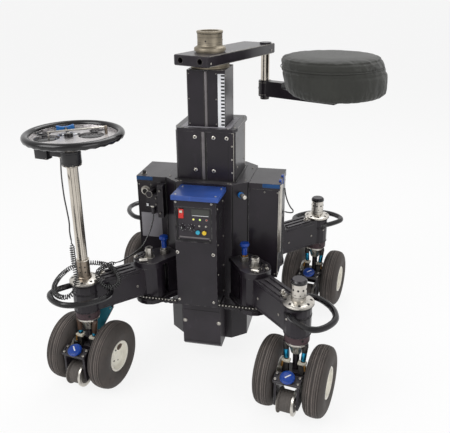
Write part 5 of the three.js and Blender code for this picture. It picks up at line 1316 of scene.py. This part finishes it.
    def switch_side(self, made, outer, inner, front, top):
        """Switch knob, round connector, blank plate and pilot light."""
        made.add(bar((outer + 22, -66, top - 0.4), (outer + 22, -66, top + 15), 7.5, 1.4,
                     28, 6.2), "gloss_black")
        made.add(band(7.5, 11, top - 0.4, top + 2, 36), "dull_nickel",
                 Matrix.Translation((outer + 22, -66, 0)))
        face = front + 1.8
        made.add(bar((outer + 34, face + 1, top - 58), (outer + 34, face - 3, top - 58), 19,
                     1.2, 40), "dull_nickel")
        made.add(bar((outer + 34, face - 3, top - 58), (outer + 34, face - 12, top - 58),
                     14.5, 1.6, 36, 13.4), "nickel")
        made.add(bar((outer + 34, face - 12, top - 58), (outer + 34, face - 12.6, top - 58),
                     10, 0, 30), "shadow_black")
        made.add(block((outer + 10, face - 1, top - 252), (inner - 22, face + 1, top - 150), 0.8),
                 "label_grey")
        made.add(bar((outer + 50, face, top - 120), (outer + 50, face - 2.4, top - 120), 4,
                     0.8, 24), "white_scale")

    def socket(self):
        low = node_box("cord_socket")[0]
        made = Piece("cord_socket_trim", "chassis")
        made.screws(grid(-174, low.y, (600, 690)), FRONT, 3.6, "dull_nickel", 1.8)
        made.screws(grid(-190, low.y, (636, 660)), FRONT, 3, "dull_nickel", 1.6)
        made.add(block((-227.4, low.y - 0.8, 627), (-219, low.y + 0.6, 638), 0.8), "white_scale")
        made.add(band(8.1, 9.4, 0, 6, 28), "nickel",
                 Matrix.Translation((-210, -109.3, 617)))
        made.add(band(12.2, 13.6, 0, 2, 32), "dull_nickel", facing((-215, low.y, 676), FRONT))
        made.done("black_casting")


class DOLLY_OT_brackets(Maker):
    """Dresses the corner brackets: pivot heads, clamp rods, lock pins and chains"""
    bl_idname = "dolly.brackets"
    bl_label = "Corner brackets"

    def make(self, size):
        for corner, (right, back) in CORNERS.items():
            self.bracket(corner, right, back)
            self.lock(corner)
        self.chains()

    def bracket(self, corner, right, back):
        pivot = joint_place("leg_swing_" + corner)
        at = Matrix.Translation((pivot.x, pivot.y, 0))
        made = Piece("bracket_trim_" + corner, "chassis", at)
        made.add(turned([(15.1, 443.4), (22, 443.4), (22, 445), (20, 446.4), (15.1, 446.4)], 48,
                        ring=True), "dull_nickel")
        made.add(turned([(15.1, 470), (16.2, 470.6), (16.2, 474.4), (15.1, 475)], 48,
                        ring=True), "nickel")
        made.add(turned([(0, 483.2), (7, 483.2), (7, 484.2), (0, 485)], 6), "dark_steel")
        for turn in (0.5, 1.6, 2.7, 3.8, 4.9, 6.0):
            place = (46 * math.cos(turn), 46 * math.sin(turn), 443.2)
            if place[0] * right > -30:
                made.screws([place], UP, 3, "dull_nickel", 1.6)
        for start, end, thick in (((-6, 38), (24, 46), 6.4), ((44, 10), (50, 24), 6.0)):
            ends = [Vector((x * right, y * back, 449.4)) for x, y in (start, end)]
            made.add(bar(ends[0], ends[1], thick, 1.2, 28), "nickel")
        made.add(band(57.6, 60.4, 419.6, 442.4, 72), "casting")
        made.done("nickel")
        rods = Piece("clamp_rods_" + corner, "chassis")
        for shift in (-16, 16):
            middle = Vector((right * 237, pivot.y + shift, 0))
            rods.add(bar((middle.x, middle.y, 443.2), (middle.x, middle.y, 448), 8, 0.8, 6),
                     "nickel")
        rods.done("nickel")

    def lock(self, corner):
        low, high = node_box("lock_pin_" + corner)
        middle = (low + high) / 2
        made = Piece("lock_pin_knob_" + corner, "lock_" + corner,
                     Matrix.Translation((middle.x, middle.y, 0)))
        top = high.z
        made.add(turned([
            (10.1, top - 54.2), (10.1, top - 20), (13, top - 16), (16.6, top - 12.4),
            (17, top - 10.8), (17, top - 3.2), (15.6, top - 0.8), (13, top - 0.1), (0, top - 0.1),
            (0, top - 54.2)], 36), "blue_plastic")
        for turn in turns(12):
            made.add(drum(1.5, top - 11, top - 3, 0.4, 10, at=(heading(turn) * 16.3).xy),
                     "blue_plastic")
        made.add(drum(5.9, low.z, top - 54, 0.8, 28), "nickel")
        ring_finish = "brass" if corner == "front_right" else "nickel"
        made.add(band(10.2, 12.6, top - 53.6, top - 48, 36), ring_finish)
        made.done("blue_plastic", "lock_pin_" + corner)
        collar = Piece("lock_collar_ring_" + corner, "chassis",
                       Matrix.Translation((middle.x, middle.y, 0)))
        collar.add(turned([(14.9, 443.6), (16.4, 443.6), (16.4, 461.6), (14.9, 463)], 40,
                          ring=True), "dull_nickel")
        collar.done("nickel")

    def chains(self):
        """Roller chains from behind the front box round the foot of each pivot."""
        radius, level, pitch = 61.5, 302.0, 12.7
        for corner, (right, back) in CORNERS.items():
            pivot = joint_place("leg_swing_" + corner)
            made = Piece("steering_chain_" + corner, "chassis")
            straight = abs(pivot.x) - 80
            count = int((straight + radius * 0.9) / pitch)
            for step in range(count):
                reach = pitch * (step + 0.5)
                if reach < straight:
                    at, turn = Vector((right * (80 + reach), pivot.y + back * radius, level)), 0
                else:
                    turn = (reach - straight) / radius
                    at = pivot + Vector((right * radius * math.sin(turn),
                                         back * radius * math.cos(turn), 0))
                    at.z = level
                place = Matrix.Translation(at) @ Matrix.Rotation(-right * back * turn, 4, "Z")
                wide = 1.3 * (step % 2)
                for lift in (-3.6 - wide, 2.4 + wide):
                    link = slab([(-7.4, -2), (-5, -3.6), (0, -2.6), (5, -3.6), (7.4, -2),
                                 (7.4, 2), (5, 3.6), (0, 2.6), (-5, 3.6), (-7.4, 2)],
                                lift, lift + 1.2, 0)
                    made.add(link, "dark_steel", place)
                made.add(drum(3.9, -2.2, 2.2, 0, 12, at=(-3.2, 0)), "nickel", place)
            made.done("nickel")


def leg_frame(corner):
    """A leg's frame: origin on the kingpin, local X outwards along the leg and Z up."""
    pivot, pin = joint_place("leg_swing_" + corner), joint_place("steer_" + corner)
    along = Vector((pin.x - pivot.x, pin.y - pivot.y, 0)).normalized()
    across = Vector((0, 0, 1)).cross(along)
    turn = Matrix((along, across, Vector((0, 0, 1)))).transposed().to_4x4()
    return Matrix.Translation((pin.x, pin.y, 0)) @ turn


def fork_frame(corner):
    """A fork's frame: origin on the kingpin and local X along the axle."""
    pin = joint_place("steer_" + corner)
    axle = Vector(JOINTS["wheel_spin_" + corner]["axis"])
    axle *= math.copysign(1, axle.x)
    return Matrix.Translation((pin.x, pin.y, 0)) @ Matrix.Rotation(
        math.atan2(axle.y, axle.x), 4, "Z")


class DOLLY_OT_legs(Maker):
    """Dresses the four swinging legs"""
    bl_idname = "dolly.legs"
    bl_label = "Legs"

    def make(self, size):
        for corner in CORNERS:
            self.leg(corner)

    def leg(self, corner):
        made = Piece("leg_trim_" + corner, "leg_body_" + corner, leg_frame(corner))
        self.flange(made)
        # Lips on the end cylinder and the hub
        for level in (309.6, 384, 418.6):
            made.add(torus(47.1, 1.3, 72, 8, level), "casting")
        made.add(torus(47, 0.9, 72, 8, 414.6), "shadow_black")
        made.add(torus(47, 0.9, 72, 8, 380.4), "shadow_black")
        reach = (joint_place("steer_" + corner) - joint_place("leg_swing_" + corner)).length
        hub = Matrix.Translation((-reach, 0, 0))
        made.add(torus(56, 1.4, 72, 8, 418), "casting", hub)
        made.add(torus(56, 1.4, 72, 8, 292), "casting", hub)
        # Raised frames on both sides of the beam and two grooves along its top
        for side in (-1, 1):
            y = side * 36.1
            for low, high in ((405, 413), (310, 318)):
                made.add(block((-reach + 62, y - 1.4, low), (-50, y + 1.4, high), 1.0),
                         "casting")
            made.screws([(-reach + 74, y, 355), (-62, y, 355)], (0, side, 0), 5, "dull_nickel", 2.4)
            made.add(block((-reach + 70, side * 23 - 2.2, 421.4), (-60, side * 23 + 2.2, 422.1),
                           0), "shadow_black")
            made.add(block((-reach + 70, side * 27.4 - 0.9, 421.4),
                           (-60, side * 27.4 + 0.9, 422.5), 0.3), "dull_nickel")
        # Stop screw on its block beside the flange
        made.add(block((-86, -22, 421.4), (-55.5, 0, 427), 1.6), "dull_nickel")
        made.add(drum(9, 427, 433, 1.2, 32, at=(-74, -11)), "nickel")
        made.add(drum(5.4, 433, 441, 1.4, 28, at=(-74, -11)), "nickel")
        made.screws([(-2, -47, 372)], FRONT, 4.6, "nickel", 3.0)
        self.handle(made)
        made.done("black_casting")

    def flange(self, made):
        """Polished bearing plate round the kingpin, with its countersunk screws."""
        made.add(turned([(25.8, 424), (53.4, 424), (54.0, 424.8), (54.0, 429.6), (52.4, 431.2),
                         (44, 434.0), (32, 437.4), (25.8, 438.4)], 72, ring=True), "nickel")
        made.add(torus(53.4, 0.9, 72, 8, 423.4), "dark_steel")
        for turn in turns(8, 0.2):
            direction = heading(turn)
            tilt = (direction * 0.3 + Vector((0, 0, 0.95))).normalized()
            place = facing(direction * 43 + Vector((0, 0, 434.2)), tilt, turn)
            made.add(turned([(2.2, 0), (5.2, 0), (5.2, 0.4), (2.2, 0.8)], 24, ring=True),
                     "dark_steel", place)
            made.add(drum(2.2, 0, 0.5, 0, 6), "shadow_black", place)

    def handle(self, made):
        """Glossy skin of the handle tube and the sleeves where it enters the leg."""
        level = 392
        route = [(-28.7, -23.3), (9.6, -43.6), (59.3, -48.3), (107, -42), (128, -15.6),
                 (128, 28), (108.9, 71.6), (66.8, 101.1), (17.2, 112), (-32.5, 107.3),
                 (-63.1, 80.9), (-70.7, 46.7), (-70.7, 18.7)]
        line = smoothed([(x, y, level) for x, y in route], 7.0)
        made.add(tube(line, 10.9, 16, smooth=False), "gloss_black")
        for start, end, along in (((-28.7, -23.3), (9.6, -43.6), 28), ((-70.7, 18.7),
                                                                     (-70.7, 46.7), 20)):
            low = Vector((*start, level))
            aim = (Vector((*end, level)) - low).normalized()
            base = low + aim * along
            made.add(bar(base, base + aim * 8, 12.6, 1.2, 32), "gloss_black")


class DOLLY_OT_forks(Maker):
    """Dresses the four steering forks and the knobs of the track wheels"""
    bl_idname = "dolly.forks"
    bl_label = "Steering forks"

    def make(self, size):
        for corner in CORNERS:
            self.fork(corner)
            self.knob(corner)

    def fork(self, corner):
        made = Piece("fork_trim_" + corner, "fork_" + corner, fork_frame(corner))
        # Drum with a dark hole in its side, polished ring and cone below it
        made.add(turned([(38, 279.4), (43, 279.4), (44.4, 281), (44.6, 306), (43.8, 307.4),
                         (38, 307.4)], 72, ring=True), "maroon")
        for turn in (-0.85, -2.6, 1.2):
            made.add(peg(heading(turn), 296, 43, 44.9, 4.6), "shadow_black")
        made.add(turned([(30, 272.8), (40.8, 272.8), (41.6, 273.8), (41.6, 278), (40.8, 279),
                         (30, 279)], 72, ring=True), "nickel")
        made.add(turned([(11.6, 226), (17.4, 226), (19.6, 229), (24, 246), (34, 262),
                         (40.8, 270.8), (40, 272.8), (11.6, 272.8)], 72, ring=True), "nickel")
        holes = (-65, -40, 90, 150) if corner == "front_left" else (-88, -20, 90, 160)
        for degrees in holes:
            turn = math.radians(degrees)
            direction = heading(turn)
            place = direction * 27.4 + Vector((0, 0, 252))
            out = (direction * 0.827 - Vector((0, 0, 0.56))).normalized()
            made.add(bar(place - out, place + out * 0.6, 3.4, 0, 20), "shadow_black")
        for side in (-1, 1):
            self.damper(made, side, corner)
        if corner == "front_left":
            self.link(made)
        else:
            self.pin(made)
        self.block_trim(made)
        self.plate(made)
        made.done("black_casting")

    def damper(self, made, side, corner):
        """Bright damper body, its end block and the brass tip."""
        bottom, top = Vector((side * 26, -22, 157)), Vector((side * 36, -11, 274))
        along = top - bottom
        body, start = ("rust_brown", 0.52) if corner == "front_left" else ("dark_steel", 0.72)
        made.add(bar(bottom + along * start, bottom + along * 0.97, 9.7, 1.2, 36), body)
        made.add(torus(9.8, 0.9, 36, 8), body, facing(bottom + along * 0.9, along))
        made.add(bar(bottom + along * 0.44, bottom + along * start, 9.2, 1.6, 28), "damper_blue")
        inner, outer = side * 14, side * 44
        made.add(block((min(inner, outer), -32, 195), (max(inner, outer), -13, 205), 1.8),
                 "ivory")
        made.add(block((min(inner, outer) + 3, -33, 160), (max(inner, outer) - 5, -15, 195), 1.4),
                 "dark_steel")
        made.add(bar((outer - side * 5, -29, 199), (outer - side * 2, -33, 178), 4.4, 1, 24),
                 "brass")

    def link(self, made):
        """Skin, edges and screws of the slanting plate behind the drum."""
        foot, head = Vector((-20, 62, 170)), Vector((50, 68, 300))
        along = (head - foot).normalized()
        across = Vector((0, 1, 0)).cross(along).normalized()
        normal = along.cross(across)
        place = Matrix((across, along, normal)).transposed().to_4x4()
        place.translation = foot
        length = (head - foot).length
        for side in (-1, 1):
            skin = block((-19.6, 4, side * 4.2 - 0.5), (19.6, length - 4, side * 4.2 + 0.5), 0.4)
            made.add(skin, "teal", place)
        made.add(block((-20.8, 2, -4.2), (-19.4, length - 2, 4.2), 0.6), "casting", place)
        made.add(block((19.4, 2, -4.2), (20.8, length - 2, 4.2), 0.6), "casting", place)
        for y in (14, length - 14):
            for x in (-12, 12):
                for side in (-1, 1):
                    spot = place @ facing((x, y, side * 4.7), (0, 0, side))
                    made.add(screw(3.6, 1.8), "dull_nickel", spot)

    def pin(self, made):
        """Silver kingpin: ring of holes, groove and domed rubber cap."""
        for level, wide, shift in ((480, 3.6, 0), (462, 2.0, 0.3)):
            for turn in turns(9, shift):
                made.add(peg(heading(turn), level, 25, 26.4, wide, 18), "shadow_black")
        made.add(turned([(25.3, 436.6), (26.0, 436.6), (26.0, 499), (25.3, 499.6)], 72,
                        ring=True), "nickel")
        made.add(torus(25.9, 0.8, 72, 8, 452), "dark_steel")
        made.add(turned([(25.3, 499.6), (27.4, 499.6), (27.8, 501), (27.2, 508), (23, 513),
                         (12, 513.9), (0, 513.9), (0, 513.2)], 64), "gloss_black")

    def block_trim(self, made):
        for side in (-1, 1):
            made.screws(grid(side * 44, (-16, 16), (108, 147)), (side, 0, 0), 3.4,
                        "dull_nickel", 1.8)
        made.screws(grid((-34, 34), (-4, 18), 157.7), UP, 3.4, "nickel", 1.8)

    def plate(self, made):
        """Bevelled border and screws of the plate under the track wheel's knob."""
        place = knob_plate()
        made.add(block((-47.2, -22.2, -7.6), (47.2, -19.4, 0.6), 1.2), "casting", place)
        for x in (-46.2, 46.2):
            made.add(block((x - 1.4, -21, -7), (x + 1.4, 21, 0.7), 0.8), "casting", place)
        for x in (-40, 40):
            for y in (-12, 12):
                spot = place @ Matrix.Translation((x, y, 0))
                made.add(screw(4.8, 2.8), "nickel", spot)
                made.add(drum(2.1, 0, 1.4, 0, 6), "shadow_black", spot)

    def knob(self, corner):
        made = Piece("track_knob_face_" + corner, "track_knob_body_" + corner,
                     fork_frame(corner))
        place = knob_plate()
        made.add(turned([(0, 0.3), (21, 0.3), (24.4, 1.6), (25.2, 3.2), (25.2, 9.2),
                         (23.8, 11.6), (20.6, 12.7), (8, 12.9), (0, 12.9)], 64),
                 "blue_plastic", place)
        for turn in turns(18):
            made.add(drum(1.6, 2, 10.2, 0.5, 10, at=(heading(turn) * 24.3).xy),
                     "blue_plastic", place)
        swing = Matrix.Rotation(math.radians(45 if corner == "front_left" else -45), 4, "Z")
        made.add(block((-2.2, -9, 12.5), (2.2, 14, 13.0), 0.2), "white_scale", place @ swing)
        made.add(torus(21.2, 0.7, 64, 8, 12.4), "stripe_blue", place)
        made.done("blue_plastic", "track_knob_" + corner)


def knob_plate():
    """The top face of the tilted plate over the track wheel, in a fork's frame."""
    tilt = math.radians(20)
    normal = Vector((0, -math.sin(tilt), math.cos(tilt)))
    up = Vector((0, math.cos(tilt), math.sin(tilt)))
    turn = Matrix((Vector((1, 0, 0)), up, normal)).transposed().to_4x4()
    return Matrix.Translation(Vector((0, -98, 178)) + normal * 4) @ turn


def axle_frame(corner, place):
    """A frame at a place in a fork's frame, with its Z along the axle."""
    return fork_frame(corner) @ Matrix.Translation(place) @ Matrix.Rotation(
        math.pi / 2, 4, "Y")


def mirrored(profile):
    """A turned profile's other half."""
    return [(r, -z) for r, z in reversed(profile)]


class DOLLY_OT_wheels(Maker):
    """Makes the tyres with their grooves, the rims and the track wheels"""
    bl_idname = "dolly.wheels"
    bl_label = "Wheels"

    def make(self, size):
        for corner in CORNERS:
            self.wheel(corner, size)
            self.track(corner)

    def wheel(self, corner, size):
        axle = axle_frame(corner, (0, 0, AXLE_LEVEL))
        for name in ("inner", "outer"):
            node = "tyre_" + corner + "_" + name
            shift = self.side_of(corner, name) * TYRE_OFFSET
            made = Piece(node + "_rubber", "wheels_" + corner,
                         axle @ Matrix.Translation((0, 0, shift)))
            made.add(self.tyre(size), "tyre")
            for middle, wide in ((-17, 0.9), (-9.6, 1.1), (3, 1.3), (9.4, 0.8), (16.8, 1.0)):
                skin = crown(middle, TREAD_RADIUS - 0.1)
                made.add(band(skin - 1, skin + 0.15, middle - wide, middle + wide, 96),
                         "tread_dust")
            made.done("tyre", node, angle=0.7)
        rims = Piece("rims_" + corner, "wheels_" + corner, axle)
        for side in (-1, 1):
            self.rim(rims, side)
        rims.add(drum(11.6, -76, 76, 1, 40), "dull_nickel")
        rims.done("cream_rim", "wheelset_" + corner)

    def side_of(self, corner, name):
        """Which way along the axle a named tyre stands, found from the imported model."""
        low, high = node_box("tyre_" + corner + "_" + name)
        middle = fork_frame(corner).inverted() @ ((low + high) / 2)
        return 1 if middle.x > 0 else -1

    def tyre(self, size):
        bore, steps = 57.7, 48
        depth, count = size.groove / MM, size.tread
        profile = [(bore, -26), (58.6, -30.2), (62, -32.4), (66, -33.6), (68, -34.8),
                   (70.4, -35), (76, -36.6), (84, -38.1), (92, -38.4), (94, -38.0),
                   (96, -38.2), (104, -36.8), (111, -34), (117, -30.2), (121, -26.4)]
        places = [TREAD_HALF * step / steps for step in range(-steps, steps + 1)]
        tread = [[crown(z), z] for z in places]
        for groove in range(count):
            middle = TREAD_HALF * (-0.86 + 1.72 * groove / (count - 1)) if count > 1 else 0
            for point in tread:
                away = abs(point[1] - middle)
                if away < GROOVE_HALF:
                    point[0] -= depth * (1 - (away / GROOVE_HALF) ** 4)
        return turned(profile + [tuple(point) for point in tread] + mirrored(profile), 96,
                      ring=True)

    def rim(self, rims, side):
        """Dished rim with a rolled lip, a hub and its openings."""
        middle = TYRE_OFFSET
        profile = [(11, middle - 16), (43, middle - 18), (46, middle - 30.6),
                   (57.3, middle - 30.8), (57.4, middle + 29), (58.2, middle + 31.4),
                   (56.6, middle + 33), (52.6, middle + 33.2), (49.6, middle + 31),
                   (46.6, middle + 22), (43, middle + 17.6), (30, middle + 16.6),
                   (21, middle + 18), (11, middle + 18)]
        if side < 0:
            profile = [(r, -z) for r, z in profile]
        rims.add(turned(profile, 72, ring=True), "rim_cream")
        rims.add(drum(12, 0, 2, 0.6, 40), "rim_cream",
                 facing((0, 0, side * (middle + 17.4)), (0, 0, side)))
        face = facing((0, 0, side * (middle + 17)), (0, 0, side))
        if side < 0:
            face = face @ Matrix.Rotation(math.pi, 4, "Z")
        for x, y, wide in ((-22, -2, 3.4), (-5, -5, 3.0), (14, -19, 3.2), (25, 6, 2.4)):
            rims.add(drum(wide, 0, 1.8, 0, 20, at=(x, y)), "shadow_black", face)
        opening = slab([(11 * math.cos(turn), 17 * math.sin(turn)) for turn in turns(24)],
                       0.4, 3.6, 1.0)
        place = face @ Matrix.Translation((-25, 24, 0)) @ Matrix.Rotation(0.25, 4, "Z")
        rims.add(opening, "rust_brown", place)
        rims.add(drum(4, 3.2, 4.2, 0.4, 20, at=(-2, -5)), "shadow_black", place)

    def track(self, corner):
        made = Piece("track_roller_" + corner, "track_wheel_body_" + corner,
                     axle_frame(corner, TRACK_AXLE))
        profile = [(0, -28.9), (42, -28.9), (45.4, -27.8), (45.9, -25.2), (45, -23.4),
                   (40, -22.6)]
        tread = []
        for step in range(-16, 17):
            z = 21.6 * step / 16
            dip = 0.8 if abs(abs(z) - 10.8) < 0.9 or abs(z) < 0.7 else 0
            tread.append((38.9 - dip, z))
        made.add(turned(profile + tread + mirrored(profile), 72), "roller_grey")
        for side in (-1, 1):
            face = facing((0, 0, side * 28.6), (0, 0, side))
            made.add(turned([(33, -1), (43.6, -1), (45.2, 0.2), (44, 1.5), (33, 0.6)], 72,
                            ring=True), "nickel", face)
            made.add(turned([(0, 0), (13, 0), (13, 2.0), (10, 2.8), (0, 2.8)], 40), "nickel",
                     face)
        made.add(turned([(41.2, 22.4), (46.0, 22.4), (46.2, 29.2), (44, 30.2), (41.2, 29)], 72,
                        ring=True), "nickel")
        made.done("roller", "track_wheel_" + corner, angle=0.7)


class DOLLY_OT_steering(Maker):
    """Makes the steering wheel, the rod's fittings, the switch box and the lever"""
    bl_idname = "dolly.steering"
    bl_label = "Steering"

    def make(self, size):
        self.place = fork_frame("front_left")
        self.rod()
        self.wheel()
        self.lever()

    def rod(self):
        made = Piece("steering_rod_trim", "fork_front_left", self.place)
        # Socket at the foot with its ring and holes
        made.add(turned([(22.6, 437), (27, 438.8), (27, 443), (24, 446), (23.4, 446),
                         (23.4, 509.6), (22.6, 509.8)], 64, ring=True), "bronze_pin")
        made.add(torus(23.2, 1.1, 64, 8, 508.6), "nickel")
        for level in (466, 486):
            for turn in turns(8, 0.1):
                made.add(peg(heading(turn), level, 22.4, 23.7, 2.8, 16), "shadow_black")
        # Black hub under the wheel: shell, bands and screws
        made.add(turned([(19.2, 857), (27, 857), (31.6, 860), (33.8, 866), (33.8, 909.6),
                         (32, 911.4), (15.4, 911.4), (15.4, 905)], 64, ring=True), "plastic")
        for level in (872, 903):
            made.add(torus(33.8, 0.9, 64, 8, level), "plastic")
        made.round_screws(turns(6, 0.2), 33.6, 866, 2.8, "dull_nickel", 1.4)
        made.add(turned([(15.2, 911), (22, 911), (22, 918), (18, 922), (15.2, 922)], 48,
                        ring=True), "dull_nickel")
        # Fine lines along the rod
        for turn in (-1.35, -0.75, 1.6, 3.4):
            direction = heading(turn) * 18.9
            made.add(block((-0.6, -0.5, 512), (0.6, 0.5, 856), 0.2), "dark_steel",
                     Matrix.Translation(direction) @ Matrix.Rotation(turn, 4, "Z"))
        # Switch box with its screws and rocker, its arm, and the cord's gland under the arm
        made.add(block((-139.8, -14.8, 871.4), (-88.2, 14.8, 913.6), 1.6), "plastic")
        made.add(block((-89, -7.6, 884.6), (-32, 7.6, 900.4), 1.2), "plastic")
        made.screws(grid((-135, -93), -14.8, (876, 909)), FRONT, 2, "dull_nickel", 1.0)
        made.add(block((-123, -6, 913), (-105, 6, 917.4), 1.0), "gloss_black")
        made.add(bar((-44, 0, 882), (-44, 0, 895), 6.6, 0.8, 24), "nickel")
        made.add(bar((-44, 0, 880.4), (-44, 0, 884), 4.4, 0.6, 24), "rubber_cap")
        made.done("chrome")

    def wheel(self):
        """Thick rim with finger bumps below, and a pale dished plate with pockets."""
        made = Piece("steering_wheel_body", "fork_front_left", self.place)
        rim = torus(153.6, 13, 120, 20, 0)
        for vertex in rim.verts:
            far = math.hypot(vertex.co.x, vertex.co.y)
            if vertex.co.z < -2:
                turn = math.atan2(vertex.co.y, vertex.co.x)
                vertex.co.z += 1.4 * (1 + math.cos(30 * turn)) * min(1.0, (far - 138) / 8)
        shift = Matrix.Translation((21, -2, 0))
        made.add(rim, "gloss_black", shift @ Matrix.Translation((0, 0, 966)))
        made.add(turned([(140.4, 966), (142.4, 958), (146, 955), (146, 957), (143, 960),
                         (141.4, 967)], 96, ring=True), "plate_grey", shift)
        # The plate: two round pockets, smaller ones at the back and a slot in the middle
        across, behind = math.radians(37.5), math.radians(127.5)
        spots = [(73, across, 43, 43), (71, across + math.pi, 43, 43),
                 (104, behind + 0.9, 24, 26), (112, behind - 1.0, 26, 24),
                 (100, behind, 22, 50)]
        plate = turned([(0, 950.8), (141, 950.8), (145, 954), (144, 958.4), (132, 957),
                        (0, 957.6)], 96)
        moved(plate, shift)
        cutters, floors = [], []
        for far, aim, deep, wide in spots:
            outline = [(far + deep * math.cos(turn), wide * math.sin(turn))
                       for turn in turns(32)]
            swing = Matrix.Rotation(aim, 4, "Z")
            cutters.append(moved(slab(outline, 953, 964, 0), swing))
            floors.append((outline, swing))
        made.add(carved(plate, *cutters), "plate_grey")
        for outline, swing in floors:
            middle = sum((Vector((x, y, 0)) for x, y in outline), Vector()) / len(outline)
            bowl = slab(outline, 952.4, 953.6, 0)
            made.add(bowl, "gloss_black", swing)
            inner = [(middle.x + (x - middle.x) * 0.72, middle.y + (y - middle.y) * 0.72)
                     for x, y in outline]
            made.add(slab(inner, 953.6, 955.4, 1.2), "gloss_black", swing)
        slot = Matrix.Rotation(across, 4, "Z") @ Matrix.Translation((4, 26, 0))
        made.add(block((-34, -13, 957), (34, 13, 958.4), 0.6), "rubber_cap", slot)
        made.add(block((-25, -7, 958.2), (25, 7, 959), 0.5), "white_scale", slot)
        # Bright bar across the dish on two posts
        left, right = Vector((-46, -49, 980)), Vector((94, 83, 980))
        made.add(bar(left, right, 3.0, 1.0, 24), "nickel")
        made.add(bar((92, 81, 956), (92, 81, 984), 5.2, 1.2, 28), "bronze_pin")
        made.add(bar((-44, -47, 956), (-44, -47, 982), 2.8, 1.0, 28), "nickel")
        made.done("black_plastic", "steering_wheel")

    def lever(self):
        """Hub, stem and saddle-shaped grip of the throttle."""
        made = Piece("throttle_body", "throttle", self.place)
        made.add(drum(14.8, 956.6, 969.6, 1.6, 48), "gloss_black")
        made.add(drum(6.5, 969, 970.8, 0.6, 32), "nickel")
        made.add(tube([(0, 0, 963), (-20, 20, 970), (-44, 44, 973)], 4.6, 16), "gloss_black")
        outline = [(-30, -8), (-30, 7), (-27, 9), (-18, 6), (-8, 3.6), (8, 3.6), (18, 6), (27, 9),
                   (30, 7), (30, -8)]
        half = math.sqrt(0.5)
        saddle = Matrix(((half, 0, half, -44), (half, 0, -half, 44), (0, 1, 0, 974.3),
                         (0, 0, 0, 1)))
        made.add(slab(outline, -5.6, 5.6, 1.6), "lever_blue", saddle)
        made.done("blue_plastic", "throttle_lever")


def carried(finish, *nodes):
    """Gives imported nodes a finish."""
    for node in nodes:
        mesh = frame["nodes"][node].data
        mesh.materials.clear()
        mesh.materials.append(FINISHES[finish])


class DOLLY_OT_carried(Maker):
    """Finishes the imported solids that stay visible"""
    bl_idname = "dolly.carried"
    bl_label = "Packed solids"

    def make(self, size):
        carried("casting", "column_housing", "middle_stage", "inner_stage", "seat_arm",
                "control_box", "battery_box_right", "battery_box_left", "cord_socket",
                "seat_pan")
        carried("pale_casting", "lower_cover", "control_panel")
        carried("red_plastic", "rocker_switch")
        carried("cyan_plastic", "panel_button_left")
        carried("yellow_plastic", "panel_button_right")
        carried("chrome", "steering_rod")
        for corner in CORNERS:
            carried("nickel", "pivot_bolt_" + corner)
            carried("casting", "leg_" + corner, "steering_fork_" + corner)


MAKERS = (DOLLY_OT_finishes, DOLLY_OT_studio, DOLLY_OT_cord, DOLLY_OT_carried,
          DOLLY_OT_stages, DOLLY_OT_beam, DOLLY_OT_seat, DOLLY_OT_boxes, DOLLY_OT_brackets,
          DOLLY_OT_legs, DOLLY_OT_forks, DOLLY_OT_wheels, DOLLY_OT_steering)


class DOLLY_PT_panel(bpy.types.Panel):
    """Lists the dolly's colours, sizes and makers"""
    bl_idname = "DOLLY_PT_panel"
    bl_label = "Camera dolly"
    bl_space_type = "VIEW_3D"
    bl_region_type = "UI"
    bl_category = "Dolly"

    def draw(self, context):
        for group in (context.scene.dolly_colours, context.scene.dolly_sizes):
            box = self.layout.box()
            for name in group.__annotations__:
                box.prop(group, name)
        for maker in MAKERS:
            self.layout.operator(maker.bl_idname)


def register():
    for kind in (DollyColours, DollySizes, *MAKERS, DOLLY_PT_panel):
        bpy.utils.register_class(kind)
    bpy.types.Scene.dolly_colours = bpy.props.PointerProperty(type=DollyColours)
    bpy.types.Scene.dolly_sizes = bpy.props.PointerProperty(type=DollySizes)


def unregister():
    del bpy.types.Scene.dolly_sizes
    del bpy.types.Scene.dolly_colours
    for kind in reversed((DollyColours, DollySizes, *MAKERS, DOLLY_PT_panel)):
        bpy.utils.unregister_class(kind)


def main():
    register()
    for maker in MAKERS:
        getattr(bpy.ops.dolly, maker.bl_idname.split(".")[1])()


if __name__ == "__main__":
    main()
